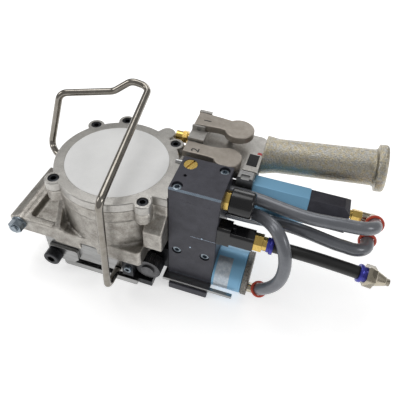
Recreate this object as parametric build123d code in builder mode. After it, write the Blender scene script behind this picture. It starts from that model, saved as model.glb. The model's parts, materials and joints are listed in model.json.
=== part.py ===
from build123d import *

import math
import os

# Pneumatic sealless strapping tool for steel strap. Millimetres, +Z up, +X towards the handle's end,
# +Y away from the operator. The origin is on the base's underside, below the sealing cylinder's axis.

# ---- fits and running gaps ----
RUNNING = 0.05                      # radial gap of a shaft in its hole
CLEAR = 0.3                         # gap between pieces that must not touch
SEAT = 0.1                          # radial gap of a fixed piece in its seat

# ---- base and strap channel ----
BASE_THICKNESS = 8.0
CHANNEL_HEIGHT = 6.0
BASE_LEFT, BASE_RIGHT = -50.0, 36.0
STRAP_FRONT, STRAP_BACK = -52.0, 28.0

# ---- sealing cylinder ----
CYLINDER_RADIUS = 58.0
FLANGE_RADIUS = 60.0
BORE_RADIUS = 49.0
CASTING_BOTTOM = 45.0
CASTING_TOP = 116.0
BORE_FLOOR = 70.0
COVER_THICKNESS = 9.0
EAR_RADIUS = 8.5
COVER_SCREW_SPOTS = [(44, 43), (-44, 43), (-44, -43), (44, -43), (-17, 61)]
BARE_EAR_SPOTS = [(30, 57)]
COVER_SCREW_SHANK = 3.0
COVER_SCREW_HEAD = 5.0
COVER_SCREW_HEAD_DEPTH = 6.0
DISC_RADIUS = 50.0
DISC_THICKNESS = 1.2

# ---- sealing piston ----
PISTON_THICKNESS = 14.0
PISTON_TOP_GAP = 2.0
SEAL_SECTION = 4.0
ROD_RADIUS = 12.0
BUSHING_WALL = 4.0
PUNCH_TRAVEL = 10.0
PUNCH_LENGTH, PUNCH_DEPTH = 32.0, 44.0
PUNCH_FRONT = -36.0
CUTTER_THICKNESS = 4.0

# ---- left wing of the casting and its cross bolt ----
WING_LEFT = -97.0
WING_FRONT, WING_BACK = -58.0, 20.0
WING_TOP, WING_BOTTOM = 68.0, 50.0
BOLT_X, BOLT_Z = -87.0, 62.0
BOLT_RADIUS = 4.0
BOLT_BOSS_RADIUS = 8.0

# ---- strap gripper ----
GRIPPER_X, GRIPPER_Z = -57.0, 19.5
GRIPPER_PIN_RADIUS = 4.0
GRIPPER_HEAD_RADIUS = 9.0
GRIPPER_THICKNESS = 4.0

# ---- feed wheel and its drive ----
WHEEL_X = 46.0
DRIVE_Y, DRIVE_Z = -13.5, 24.0
WHEEL_RADIUS = 13.5
WHEEL_WIDTH = 14.0
WHEEL_FRONT = -45.0
WHEEL_SHAFT_RADIUS = 4.0
GEAR_RADIUS, PINION_RADIUS = 11.0, 5.5
GEAR_TEETH, PINION_TEETH = 24, 12
GEAR_FACE = 4.5
DRIVE_SHAFT_RADIUS = 3.5
GEAR_TUBE_RADIUS, GEAR_TUBE_WALL = 9.5, 2.5

# ---- lower air motor ----
LOWER_MOTOR_RADIUS = 22.5
LOWER_MOTOR_LENGTH = 31.0
LOWER_RING_LENGTH = 6.0
LOWER_ROTOR_RADIUS = 12.0

# ---- valve block ----
BLOCK_LEFT, BLOCK_RIGHT = 64.0, 112.0
BLOCK_FRONT, BLOCK_BACK = -33.0, 12.0
BLOCK_BOTTOM, BLOCK_TOP = 13.0, 140.0
BLOCK_CAP_THICKNESS = 12.0
RAIL_THICKNESS = 4.0
THROTTLE_X, THROTTLE_Y = 73.0, 3.0
THROTTLE_RADIUS = 6.5

# ---- upper air motor ----
UPPER_Y, UPPER_Z = 24.0, 104.0
UPPER_MOTOR_RADIUS = 17.0
UPPER_LEFT, UPPER_JOINT, UPPER_RIGHT = 131.0, 185.0, 223.0
UPPER_NOSE_RADIUS = 9.0
UPPER_ROTOR_RADIUS = 9.0
UPPER_SHAFT_RADIUS = 4.0
SHAFT_HOUSING_LEFT = 61.0

# ---- lever housing and levers ----
HOUSING_LEFT, HOUSING_RIGHT = 57.0, 132.0
HOUSING_FRONT, HOUSING_BACK = 22.0, 84.0
HOUSING_BOTTOM, HOUSING_TOP = 104.0, 126.0
LEVER_THICKNESS = 7.0
LEVER_PIN_RADIUS = 2.5
LEVER_PIN_X = 64.0
LEVER_1_Z, LEVER_2_Z = 136.5, 128.5
LEVER_1_Y, LEVER_2_Y = 69.0, 32.0
PADDLE_RADIUS = 15.0
PADDLE_X = 103.0
STEM_RADIUS = 3.0
STEM_ROUND = 1.2
STEM_X = 96.0

BUTTON_X, BUTTON_Y = 128.6, 53.5
BUTTON_RADIUS = 2.5

# ---- handle ----
GRIP_RADIUS = 17.0
GRIP_BORE = 10.0
GRIP_LENGTH = 106.0
GRIP_TILT = 8.5
GRIP_ROOT = (132.0, 60.0, 124.0)
GRIP_FLANGE_RADIUS = 22.0
GRIP_FLANGE_THICKNESS = 9.0

# ---- muffler, inlet and hoses ----
MUFFLER_Y, MUFFLER_Z = -14.0, 124.0
MUFFLER_RADIUS, MUFFLER_LENGTH = 12.5, 22.0
FITTING_HEX = 7.5
INLET_Y, INLET_Z = -27.0, 94.0
INLET_BODY_LENGTH = 34.0
HOSE_RADIUS = 6.0
COLLAR_RADIUS = 8.6
COLLAR_LENGTH = 5.0

# ---- bail ----
BAIL_RADIUS = 3.5


def rod(start, end, radius, mode=Mode.ADD):
    """Add or cut a plain cylinder between two points."""
    start, end = Vector(*start), Vector(*end)
    with BuildSketch(Plane(origin=start, z_dir=end - start)) as profile:
        Circle(radius)
    extrude(profile.sketch, amount=(end - start).length, mode=mode)


def hexagon(start, end, apothem, mode=Mode.ADD):
    """Add or cut a hexagonal bar between two points."""
    start, end = Vector(*start), Vector(*end)
    with BuildSketch(Plane(origin=start, z_dir=end - start)) as profile:
        RegularPolygon(apothem, 6, major_radius=False)
    extrude(profile.sketch, amount=(end - start).length, mode=mode)


def block(low, high, mode=Mode.ADD):
    """Add or cut a plain box between two corners."""
    with Locations(Location(low)):
        Box(*[b - a for a, b in zip(low, high)], align=Align.MIN, mode=mode)


def corner_radii(points):
    """One arc radius for each inner point: 0.45 of the shorter run over the tangent of half the turn."""
    places = [Vector(*p) for p in points]
    radii = []
    for before, here, after in zip(places, places[1:], places[2:]):
        turn = math.radians((here - before).get_angle(after - here))
        radii.append(0.45 * min((here - before).length, (after - here).length) / math.tan(turn / 2))
    return radii


def hose(name, points, radius=HOSE_RADIUS):
    """A plain round hose along straight runs joined by tangent arcs."""
    radii = corner_radii(points)
    print(name, "corner radii", [round(r, 1) for r in radii])
    with BuildLine() as route:
        FilletPolyline(*points, radius=radii)
    path = route.wire()
    with BuildPart() as tube:
        with BuildSketch(Plane(origin=path @ 0, z_dir=path % 0)):
            Circle(radius)
        sweep(path=path)
    ratio = tube.part.volume / (path.length * math.pi * radius ** 2)
    print(name, "length", round(path.length, 1), "volume over section times length", round(ratio, 4))
    return tube


# ================= casting, cover and what is in the cylinder =================

def cover_outline(radius):
    """The cover's outline: a round flange, an ear at each screw and a straight web to the valve block."""
    Circle(radius)
    for x, y in COVER_SCREW_SPOTS + BARE_EAR_SPOTS:
        reach = math.hypot(x, y)
        with Locations(Location((x * 0.5, y * 0.5, 0), math.degrees(math.atan2(y, x)))):
            Rectangle(reach, 2 * EAR_RADIUS)
        with Locations((x, y)):
            Circle(EAR_RADIUS)
    with Locations((0, -34)):
        Rectangle(BLOCK_LEFT - CLEAR, 50, align=Align.MIN)


with BuildPart() as cylinder_body:
    with BuildSketch(Plane.XY.offset(CASTING_TOP)):
        cover_outline(FLANGE_RADIUS)
    extrude(amount=-14)
    with BuildSketch(Plane.XY.offset(CASTING_BOTTOM)):
        Circle(CYLINDER_RADIUS)
    extrude(amount=CASTING_TOP - CASTING_BOTTOM)
    # front foot of the casting, above the strap channel
    with BuildSketch(Plane.XY.offset(CASTING_BOTTOM)):
        with Locations((-52, WING_FRONT)):
            Rectangle(96, 62, align=Align.MIN)
        fillet(vertices(), 4)
    extrude(amount=20)
    # left wing with its recess and the boss for the cross bolt
    with BuildSketch(Plane.XY.offset(WING_BOTTOM)):
        with Locations((WING_LEFT, WING_FRONT)):
            Rectangle(60, WING_BACK - WING_FRONT, align=Align.MIN)
    extrude(amount=WING_TOP - WING_BOTTOM)
    with BuildSketch(Plane.XZ.offset(-WING_FRONT)):
        with Locations((BOLT_X, BOLT_Z)):
            Circle(BOLT_BOSS_RADIUS)
    extrude(amount=-(WING_BACK - WING_FRONT))
    with BuildSketch(Plane.XY.offset(WING_TOP)):
        with BuildLine():
            Polyline((-78, -50), (-46, -50), (-60, 8), (-78, 8), close=True)
        make_face()
        fillet(vertices(), 4)
    extrude(amount=-9, mode=Mode.SUBTRACT)
    # sloped web from the front left ear down to the wing's lip
    with BuildSketch(Plane.YZ.offset(-47)):
        with BuildLine():
            Polyline((-36, 100), (-36, 64), (-57, 64), (-57, 70), close=True)
        make_face()
    extrude(amount=6)
    # bulge beside the valve block, its top sloping up to the flange
    with BuildSketch(Plane.YZ.offset(45)):
        with BuildLine():
            Polyline((-10, 66), (-50, 66), (-50, 92), (-30, 106), (-10, 106), close=True)
        make_face()
        fillet(vertices().group_by(Axis.Y)[0], 4)
    extrude(amount=BLOCK_LEFT - CLEAR - 45)
    # web to the valve block and pad for the lever housing
    with BuildSketch(Plane.XY.offset(70)):
        with Locations((30, -30)):
            Rectangle(BLOCK_LEFT - 30, 42, align=Align.MIN)
        with Locations((20, HOUSING_FRONT + 17)):
            Rectangle(HOUSING_LEFT - 20, 17, align=Align.MIN)
    extrude(amount=CASTING_TOP - 70)
    block((20, HOUSING_FRONT, 88), (SHAFT_HOUSING_LEFT, HOUSING_FRONT + 16, CASTING_TOP))
    # rear left boss that the bail's end sits in
    with BuildSketch(Plane.YZ.offset(-68)):
        with Locations((16, 95)):
            Circle(9)
    extrude(amount=20)
    # cylinder bore, rod bore, screw holes, cross bolt hole and window
    with BuildSketch(Plane.XY.offset(CASTING_TOP)):
        Circle(BORE_RADIUS)
    extrude(amount=-(CASTING_TOP - BORE_FLOOR), mode=Mode.SUBTRACT)
    with Locations((0, 0, BORE_FLOOR)):
        Hole(ROD_RADIUS + RUNNING + BUSHING_WALL, BORE_FLOOR - CASTING_BOTTOM)
    with Locations(*[(x, y, CASTING_TOP) for x, y in COVER_SCREW_SPOTS]):
        Hole(COVER_SCREW_SHANK, 13)
    rod((BOLT_X, WING_FRONT - 1, BOLT_Z), (BOLT_X, WING_BACK + 1, BOLT_Z), BOLT_RADIUS + RUNNING,
        mode=Mode.SUBTRACT)
    block((-21, WING_FRONT - 1, CASTING_BOTTOM - 1), (-3, WING_FRONT + 9, 55), mode=Mode.SUBTRACT)
    rod((-70, 16, 95), (-56, 16, 95), BAIL_RADIUS + SEAT, mode=Mode.SUBTRACT)

with BuildPart() as cylinder_cover:
    with BuildSketch(Plane.XY.offset(CASTING_TOP)):
        cover_outline(FLANGE_RADIUS)
    extrude(amount=COVER_THICKNESS)
    chamfer(cylinder_cover.faces().sort_by(Axis.Z)[-1].outer_wire().edges(), 0.8)
    with BuildSketch(Plane.XY.offset(CASTING_TOP + COVER_THICKNESS)):
        Circle(DISC_RADIUS + SEAT)
    extrude(amount=-DISC_THICKNESS, mode=Mode.SUBTRACT)
    with Locations(*[(x, y, CASTING_TOP + COVER_THICKNESS) for x, y in COVER_SCREW_SPOTS]):
        CounterBoreHole(COVER_SCREW_SHANK + SEAT, COVER_SCREW_HEAD + CLEAR, COVER_SCREW_HEAD_DEPTH)

with BuildPart() as cover_disc:
    with BuildSketch(Plane.XY.offset(CASTING_TOP + COVER_THICKNESS - DISC_THICKNESS)):
        Circle(DISC_RADIUS)
    extrude(amount=DISC_THICKNESS)

with BuildPart() as cover_screws:
    head_seat = CASTING_TOP + COVER_THICKNESS - COVER_SCREW_HEAD_DEPTH
    for x, y in COVER_SCREW_SPOTS:
        with BuildSketch(Plane.XY.offset(head_seat)):
            with Locations((x, y)):
                Circle(COVER_SCREW_HEAD)
        extrude(amount=COVER_SCREW_HEAD_DEPTH - 0.5)
        with BuildSketch(Plane.XY.offset(head_seat + COVER_SCREW_HEAD_DEPTH - 0.5)):
            with Locations((x, y)):
                RegularPolygon(2.5, 6, major_radius=False)
        extrude(amount=-3, mode=Mode.SUBTRACT)
        with BuildSketch(Plane.XY.offset(head_seat)):
            with Locations((x, y)):
                Circle(COVER_SCREW_SHANK - RUNNING)
        extrude(amount=-14)

PISTON_TOP = CASTING_TOP - PISTON_TOP_GAP
PISTON_BOTTOM = PISTON_TOP - PISTON_THICKNESS
PUNCH_TOP = CASTING_BOTTOM - 1
PUNCH_BOTTOM = BASE_THICKNESS + 1 + PUNCH_TRAVEL

with BuildPart() as sealing_piston:
    with BuildSketch(Plane.XY.offset(PISTON_BOTTOM)):
        Circle(BORE_RADIUS - RUNNING)
    extrude(amount=PISTON_THICKNESS)
    with BuildSketch(Plane.XY.offset(PISTON_BOTTOM + 5)):
        Circle(BORE_RADIUS)
        Circle(BORE_RADIUS - SEAL_SECTION, mode=Mode.SUBTRACT)
    extrude(amount=SEAL_SECTION, mode=Mode.SUBTRACT)

with BuildPart() as piston_seal:
    with BuildSketch(Plane.XY.offset(PISTON_BOTTOM + 5)):
        Circle(BORE_RADIUS - RUNNING)
        Circle(BORE_RADIUS - SEAL_SECTION, mode=Mode.SUBTRACT)
    extrude(amount=SEAL_SECTION)

with BuildPart() as piston_rod:
    with BuildSketch(Plane.XY.offset(PUNCH_TOP)):
        Circle(ROD_RADIUS)
    extrude(amount=PISTON_BOTTOM - PUNCH_TOP)

with BuildPart() as rod_bushing:
    with BuildSketch(Plane.XY.offset(CASTING_BOTTOM + 1)):
        Circle(ROD_RADIUS + RUNNING + BUSHING_WALL)
        Circle(ROD_RADIUS + RUNNING, mode=Mode.SUBTRACT)
    extrude(amount=BORE_FLOOR - CASTING_BOTTOM - 1)

with BuildPart() as return_spring:
    with BuildSketch(Plane.XY.offset(BORE_FLOOR)):
        Circle(ROD_RADIUS + 12)
        Circle(ROD_RADIUS + 8, mode=Mode.SUBTRACT)
    extrude(amount=PISTON_BOTTOM - BORE_FLOOR)

with BuildPart() as seal_punch:
    with BuildSketch(Plane.XY.offset(PUNCH_BOTTOM + 6)):
        with Locations((-PUNCH_LENGTH / 2, PUNCH_FRONT)):
            Rectangle(PUNCH_LENGTH, PUNCH_DEPTH, align=Align.MIN)
    extrude(amount=PUNCH_TOP - PUNCH_BOTTOM - 6)
    # three notching ribs across the strap
    with BuildSketch(Plane.XY.offset(PUNCH_BOTTOM)):
        with GridLocations(10, 0, 3, 1):
            with Locations((0, PUNCH_FRONT + 14)):
                Rectangle(5, 24)
    extrude(amount=6)

with BuildPart() as strap_cutter:
    with BuildSketch(Plane.XZ.offset(-PUNCH_FRONT)):
        with BuildLine():
            left = -PUNCH_LENGTH / 2 - CUTTER_THICKNESS
            right = -PUNCH_LENGTH / 2
            Polyline((left, PUNCH_BOTTOM + 3), (right, PUNCH_BOTTOM + 1), (right, PUNCH_TOP),
                     (left, PUNCH_TOP), close=True)
        make_face()
    extrude(amount=-PUNCH_DEPTH)

# ================= base, jaw housing and gripper =================

with BuildPart() as base_plate:
    with BuildSketch():
        with Locations((BASE_LEFT, STRAP_FRONT)):
            Rectangle(BASE_RIGHT - BASE_LEFT, STRAP_BACK - STRAP_FRONT, align=Align.MIN)
    extrude(amount=BASE_THICKNESS)
    chamfer(base_plate.edges().filter_by(Axis.Y).group_by(Axis.Z)[0], 2)
    # pocket for the sealing die
    with BuildSketch(Plane.XY.offset(BASE_THICKNESS)):
        with Locations((-18, PUNCH_FRONT)):
            Rectangle(36, 28, align=Align.MIN)
    extrude(amount=-4, mode=Mode.SUBTRACT)

with BuildPart() as seal_die:
    with BuildSketch(Plane.XY.offset(BASE_THICKNESS - 4)):
        with Locations((-18, PUNCH_FRONT)):
            Rectangle(36, 28, align=Align.MIN)
    extrude(amount=4)
    with BuildSketch(Plane.XY.offset(BASE_THICKNESS)):
        with GridLocations(10, 0, 3, 1):
            with Locations((0, PUNCH_FRONT + 14)):
                Rectangle(5.6, 24.6)
    extrude(amount=-2, mode=Mode.SUBTRACT)

with BuildPart() as wheel_counter_plate:
    block((BASE_RIGHT, -48, 0), (51, -22, BASE_THICKNESS))
    # grip grooves across the strap
    with BuildSketch(Plane.XY.offset(BASE_THICKNESS + 0.5)):
        with Locations((BASE_RIGHT + 7.5, -35)):
            with GridLocations(2.2, 0, 5, 1):
                Rectangle(1.1, 24)
    extrude(amount=-1.2, mode=Mode.SUBTRACT)

JAW_BOTTOM = BASE_THICKNESS + CHANNEL_HEIGHT
with BuildPart() as jaw_housing:
    with BuildSketch(Plane.XY.offset(JAW_BOTTOM)):
        with Locations((-68, -50)):
            Rectangle(87.5, 75, align=Align.MIN)
    extrude(amount=CASTING_BOTTOM - JAW_BOTTOM)
    fillet(jaw_housing.edges().filter_by(Axis.Y).group_by(Axis.X)[0], 5)
    # shaft for the punch and the cutter
    with BuildSketch(Plane.XY.offset(CASTING_BOTTOM)):
        with Locations((-PUNCH_LENGTH / 2 - CUTTER_THICKNESS - CLEAR, PUNCH_FRONT - CLEAR)):
            Rectangle(PUNCH_LENGTH + CUTTER_THICKNESS + 2 * CLEAR, PUNCH_DEPTH + 2 * CLEAR, align=Align.MIN)
        Circle(ROD_RADIUS + CLEAR)
    extrude(amount=-(CASTING_BOTTOM - JAW_BOTTOM), mode=Mode.SUBTRACT)
    rod((GRIPPER_X, -51, GRIPPER_Z), (GRIPPER_X, -34, GRIPPER_Z), GRIPPER_PIN_RADIUS + RUNNING,
        mode=Mode.SUBTRACT)
    rod((14, -51, 19), (14, -40, 19), BAIL_RADIUS + SEAT, mode=Mode.SUBTRACT)
    # rear support down to the base plate
    with BuildSketch(Plane.XY.offset(BASE_THICKNESS)):
        with Locations((-48, 14)):
            Rectangle(66, 11, align=Align.MIN)
    extrude(amount=CHANNEL_HEIGHT + 1)

with BuildPart() as gripper_pin:
    rod((GRIPPER_X, -64, GRIPPER_Z), (GRIPPER_X, -55, GRIPPER_Z), GRIPPER_HEAD_RADIUS)
    fillet(gripper_pin.edges().group_by(Axis.Y)[0], 1.5)
    rod((GRIPPER_X, -55, GRIPPER_Z), (GRIPPER_X, -34.5, GRIPPER_Z), GRIPPER_PIN_RADIUS)
    hexagon((GRIPPER_X, -65, GRIPPER_Z), (GRIPPER_X, -59, GRIPPER_Z), 4, mode=Mode.SUBTRACT)

with BuildPart() as gripper_lever:
    with BuildSketch(Plane.XZ.offset(50 + CLEAR)):
        with BuildLine():
            Polyline((-64, 31), (-64, 15), (-50, 11), (-36, 11), (-30, 17), (-30, 31), close=True)
        make_face()
        fillet(vertices(), 3)
        with Locations((GRIPPER_X, GRIPPER_Z)):
            Circle(GRIPPER_PIN_RADIUS + RUNNING, mode=Mode.SUBTRACT)
    extrude(amount=GRIPPER_THICKNESS)

with BuildPart() as cross_bolt:
    rod((BOLT_X, WING_FRONT - 11, BOLT_Z), (BOLT_X, WING_BACK + 1.6, BOLT_Z), BOLT_RADIUS)
    hexagon((BOLT_X, WING_BACK, BOLT_Z), (BOLT_X, WING_BACK + 6, BOLT_Z), 6.5)
    # washer and nut on the front end
    rod((BOLT_X, WING_FRONT - 1.6, BOLT_Z), (BOLT_X, WING_FRONT, BOLT_Z), 8)
    hexagon((BOLT_X, WING_FRONT - 9, BOLT_Z), (BOLT_X, WING_FRONT - 1.6, BOLT_Z), 6.5)

# ================= feed wheel and its drive =================

MOTOR_LEFT = BLOCK_RIGHT
MOTOR_RIGHT = MOTOR_LEFT + LOWER_MOTOR_LENGTH
RING_RIGHT = MOTOR_RIGHT + LOWER_RING_LENGTH

with BuildPart() as wheel_housing:
    block((20, -28, JAW_BOTTOM), (64, 6, CASTING_BOTTOM))
    block((20, -52, JAW_BOTTOM), (32, -28, CASTING_BOTTOM))
    # rear leg on the base plate
    block((24, 1, BASE_THICKNESS), (BASE_RIGHT, 6, JAW_BOTTOM))
    # gear pocket, open below
    block((33, -19.4, JAW_BOTTOM - 1), (60, 0.5, 38), mode=Mode.SUBTRACT)
    rod((WHEEL_X, -29, DRIVE_Z), (WHEEL_X, 7, DRIVE_Z), 7, mode=Mode.SUBTRACT)
    rod((58, DRIVE_Y, DRIVE_Z), (65, DRIVE_Y, DRIVE_Z), GEAR_TUBE_RADIUS + SEAT, mode=Mode.SUBTRACT)
    rod((27, -53, 27), (27, -44, 27), 2.6, mode=Mode.SUBTRACT)

with BuildPart() as ball_bearings:
    for y0, y1 in ((-28, -19.4), (0.5, 6)):
        rod((WHEEL_X, y0, DRIVE_Z), (WHEEL_X, y1, DRIVE_Z), 7 - RUNNING)
        rod((WHEEL_X, y0 - 1, DRIVE_Z), (WHEEL_X, y1 + 1, DRIVE_Z), WHEEL_SHAFT_RADIUS + RUNNING,
            mode=Mode.SUBTRACT)
    for x0, x1 in ((61.5, 66.5), (MOTOR_LEFT - 6, MOTOR_LEFT - 1)):
        rod((x0, DRIVE_Y, DRIVE_Z), (x1, DRIVE_Y, DRIVE_Z), GEAR_TUBE_RADIUS - GEAR_TUBE_WALL - RUNNING)
        rod((x0 - 1, DRIVE_Y, DRIVE_Z), (x1 + 1, DRIVE_Y, DRIVE_Z), DRIVE_SHAFT_RADIUS + RUNNING,
            mode=Mode.SUBTRACT)

with BuildPart() as feed_wheel:
    with BuildSketch(Plane.XZ.offset(-WHEEL_FRONT - WHEEL_WIDTH)):
        with Locations((WHEEL_X, DRIVE_Z)):
            Circle(WHEEL_RADIUS)
            with PolarLocations(WHEEL_RADIUS, 36):
                Rectangle(1.1, 1.1, rotation=45, mode=Mode.SUBTRACT)
            Circle(WHEEL_SHAFT_RADIUS, mode=Mode.SUBTRACT)
    extrude(amount=WHEEL_WIDTH)

with BuildPart() as wheel_shaft:
    rod((WHEEL_X, WHEEL_FRONT, DRIVE_Z), (WHEEL_X, 5, DRIVE_Z), WHEEL_SHAFT_RADIUS)
    rod((WHEEL_X, WHEEL_FRONT - 2, DRIVE_Z), (WHEEL_X, WHEEL_FRONT, DRIVE_Z), 7)


def bevel_blank(radius, mate, teeth, face):
    """A bevel gear on Z, apex at the origin: big end at z = mate, cut with straight tooth spaces."""
    ratio = radius / mate
    inner = mate - face * mate / math.hypot(radius, mate)
    with BuildPart(mode=Mode.PRIVATE) as gear:
        with BuildSketch(Plane.XZ):
            with BuildLine():
                Polyline((0, inner), (inner * ratio, inner), (radius, mate), (radius * 0.8, mate + 2.5),
                         (0, mate + 2.5), close=True)
            make_face()
        revolve(axis=Axis.Z)
        slope = math.degrees(math.atan(ratio))
        for index in range(teeth):
            tooth_space = (Rot(0, 0, index * 360 / teeth) * Pos(radius, 0, mate) * Rot(0, slope, 0)
                           * Box(2.2, math.pi * radius / teeth, 6 * face, mode=Mode.PRIVATE))
            add(tooth_space, mode=Mode.SUBTRACT)
    return gear.part


with BuildPart() as bevel_gear:
    add(Pos(WHEEL_X, DRIVE_Y, DRIVE_Z) * Rot(-90, 0, 0) * Pos(0, 0, CLEAR)
        * bevel_blank(GEAR_RADIUS, PINION_RADIUS, GEAR_TEETH, GEAR_FACE))
    rod((WHEEL_X, DRIVE_Y - 20, DRIVE_Z), (WHEEL_X, 5, DRIVE_Z), WHEEL_SHAFT_RADIUS, mode=Mode.SUBTRACT)

with BuildPart() as bevel_pinion:
    add(Pos(WHEEL_X, DRIVE_Y, DRIVE_Z) * Rot(0, 90, 0) * Pos(0, 0, CLEAR)
        * bevel_blank(PINION_RADIUS, GEAR_RADIUS, PINION_TEETH, GEAR_FACE))
    rod((WHEEL_X, DRIVE_Y, DRIVE_Z), (80, DRIVE_Y, DRIVE_Z), DRIVE_SHAFT_RADIUS - 1, mode=Mode.SUBTRACT)

with BuildPart() as lower_motor_rotor:
    rod((WHEEL_X + 7, DRIVE_Y, DRIVE_Z), (61, DRIVE_Y, DRIVE_Z), DRIVE_SHAFT_RADIUS - 1)
    rod((61, DRIVE_Y, DRIVE_Z), (MOTOR_RIGHT + 3, DRIVE_Y, DRIVE_Z), DRIVE_SHAFT_RADIUS)
    rod((MOTOR_LEFT + 5, DRIVE_Y, DRIVE_Z), (MOTOR_RIGHT - 2, DRIVE_Y, DRIVE_Z), LOWER_ROTOR_RADIUS)
    # vane slots
    for index in range(5):
        slot = (Pos(MOTOR_LEFT, DRIVE_Y, DRIVE_Z) * Rot(index * 72, 0, 0)
                * Pos(LOWER_MOTOR_LENGTH / 2, 0, LOWER_ROTOR_RADIUS - 2)
                * Box(LOWER_MOTOR_LENGTH + 9, 1.6, 6, mode=Mode.PRIVATE))
        add(slot, mode=Mode.SUBTRACT)

with BuildPart() as gear_tube:
    rod((59.5, DRIVE_Y, DRIVE_Z), (MOTOR_LEFT, DRIVE_Y, DRIVE_Z), GEAR_TUBE_RADIUS)
    rod((59, DRIVE_Y, DRIVE_Z), (MOTOR_LEFT + 1, DRIVE_Y, DRIVE_Z), GEAR_TUBE_RADIUS - GEAR_TUBE_WALL,
        mode=Mode.SUBTRACT)

with BuildPart() as lower_motor_casing:
    rod((MOTOR_LEFT, DRIVE_Y, DRIVE_Z), (MOTOR_RIGHT, DRIVE_Y, DRIVE_Z), LOWER_MOTOR_RADIUS)
    chamfer(lower_motor_casing.edges().group_by(Axis.X)[-1], 1)
    rod((MOTOR_LEFT + 4, DRIVE_Y, DRIVE_Z), (MOTOR_RIGHT + 1, DRIVE_Y, DRIVE_Z), LOWER_MOTOR_RADIUS - 5,
        mode=Mode.SUBTRACT)
    rod((MOTOR_LEFT - 1, DRIVE_Y, DRIVE_Z), (MOTOR_LEFT + 5, DRIVE_Y, DRIVE_Z),
        DRIVE_SHAFT_RADIUS + RUNNING, mode=Mode.SUBTRACT)

LOWER_PORT_Y, LOWER_PORT_Z = -29.0, 22.0
with BuildPart() as exhaust_ring:
    rod((MOTOR_RIGHT, DRIVE_Y, DRIVE_Z), (RING_RIGHT, DRIVE_Y, DRIVE_Z), LOWER_MOTOR_RADIUS + 0.4)
    chamfer(exhaust_ring.edges().group_by(Axis.X)[-1], 1)
    rod((MOTOR_RIGHT - 1, DRIVE_Y, DRIVE_Z), (MOTOR_RIGHT + 3.5, DRIVE_Y, DRIVE_Z),
        DRIVE_SHAFT_RADIUS + RUNNING, mode=Mode.SUBTRACT)

# ================= valve block =================

with BuildPart() as valve_block:
    block((BLOCK_LEFT, BLOCK_FRONT, BLOCK_BOTTOM),
        (BLOCK_RIGHT, BLOCK_BACK, BLOCK_TOP - BLOCK_CAP_THICKNESS))
    chamfer(valve_block.edges().filter_by(Axis.Z), 0.8)
    # passage for the gear tube
    block((BLOCK_LEFT - 1, -24.5, BLOCK_BOTTOM - 1), (BLOCK_RIGHT + 1, -2.5, 35), mode=Mode.SUBTRACT)
    with Locations((THROTTLE_X, THROTTLE_Y, BLOCK_TOP - BLOCK_CAP_THICKNESS)):
        Hole(3 + RUNNING, 20)
    for x, z in ((73, 55), (102, 56)):
        rod((x, BLOCK_FRONT - 1, z), (x, BLOCK_FRONT + 5, z), 5, mode=Mode.SUBTRACT)
        rod((x, BLOCK_FRONT + 5, z), (x, BLOCK_FRONT + 17, z), 2.6, mode=Mode.SUBTRACT)

with BuildPart() as block_cap:
    block((BLOCK_LEFT, BLOCK_FRONT, BLOCK_TOP - BLOCK_CAP_THICKNESS), (BLOCK_RIGHT, BLOCK_BACK, BLOCK_TOP))
    chamfer(block_cap.faces().sort_by(Axis.Z)[-1].edges().sort_by(Axis.Y)[0], 1.6)
    with Locations((THROTTLE_X, THROTTLE_Y, BLOCK_TOP)):
        Hole(THROTTLE_RADIUS + RUNNING)
    with Locations((73, -13, BLOCK_TOP)):
        Hole(1.6, 8)
    with Locations((70.5, -27, BLOCK_TOP), (105, 5.5, BLOCK_TOP)):
        CounterBoreHole(2.6, 5, 6)

with BuildPart() as cap_screws:
    cap_top = BLOCK_TOP - 6
    for x, y in ((70.5, -27), (105, 5.5)):
        rod((x, y, cap_top), (x, y, cap_top + 4), 4.4)
        rod((x, y, cap_top - 6), (x, y, cap_top), 2.55)
        hexagon((x, y, cap_top + 1.5), (x, y, cap_top + 5), 2, mode=Mode.SUBTRACT)
    for x, z in ((73, 55), (102, 56)):
        rod((x, BLOCK_FRONT + 1, z), (x, BLOCK_FRONT + 5, z), 4.4)
        rod((x, BLOCK_FRONT + 5, z), (x, BLOCK_FRONT + 16, z), 2.55)
        hexagon((x, BLOCK_FRONT, z), (x, BLOCK_FRONT + 3.5, z), 2, mode=Mode.SUBTRACT)
    rod((27, -54.5, 27), (27, -52, 27), 4.2)
    rod((27, -52, 27), (27, -45, 27), 2.55)
    hexagon((27, -55, 27), (27, -52.6, 27), 2, mode=Mode.SUBTRACT)

with BuildPart() as throttle_screw:
    rod((THROTTLE_X, THROTTLE_Y, BLOCK_TOP - 9), (THROTTLE_X, THROTTLE_Y, BLOCK_TOP - 0.3),
        THROTTLE_RADIUS)
    rod((THROTTLE_X, THROTTLE_Y, BLOCK_TOP - 28), (THROTTLE_X, THROTTLE_Y, BLOCK_TOP - 9), 3)
    add(Pos(THROTTLE_X, THROTTLE_Y, BLOCK_TOP) * Rot(0, 0, 70) * Box(20, 1.4, 3, mode=Mode.PRIVATE),
        mode=Mode.SUBTRACT)

with BuildPart() as base_rail:
    z0, z1 = BLOCK_BOTTOM - RAIL_THICKNESS, BLOCK_BOTTOM
    block((60.5, -41, z0), (BLOCK_RIGHT, -24.5, z1))
    block((BLOCK_RIGHT, -41, z0), (136, -37, z1))
    block((BLOCK_LEFT + 1, -2, z0), (BLOCK_RIGHT - 1, 10, z1))
    block((BLOCK_LEFT + 12, -24.5, z0), (BLOCK_LEFT + 36, -2, z1))

with BuildPart() as block_foot:
    block((68, -43, 0), (110, 9, BLOCK_BOTTOM - RAIL_THICKNESS))
    chamfer(block_foot.edges().filter_by(Axis.Y).group_by(Axis.Z)[0], 1)

# ================= lever housing, levers and handle =================

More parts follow.
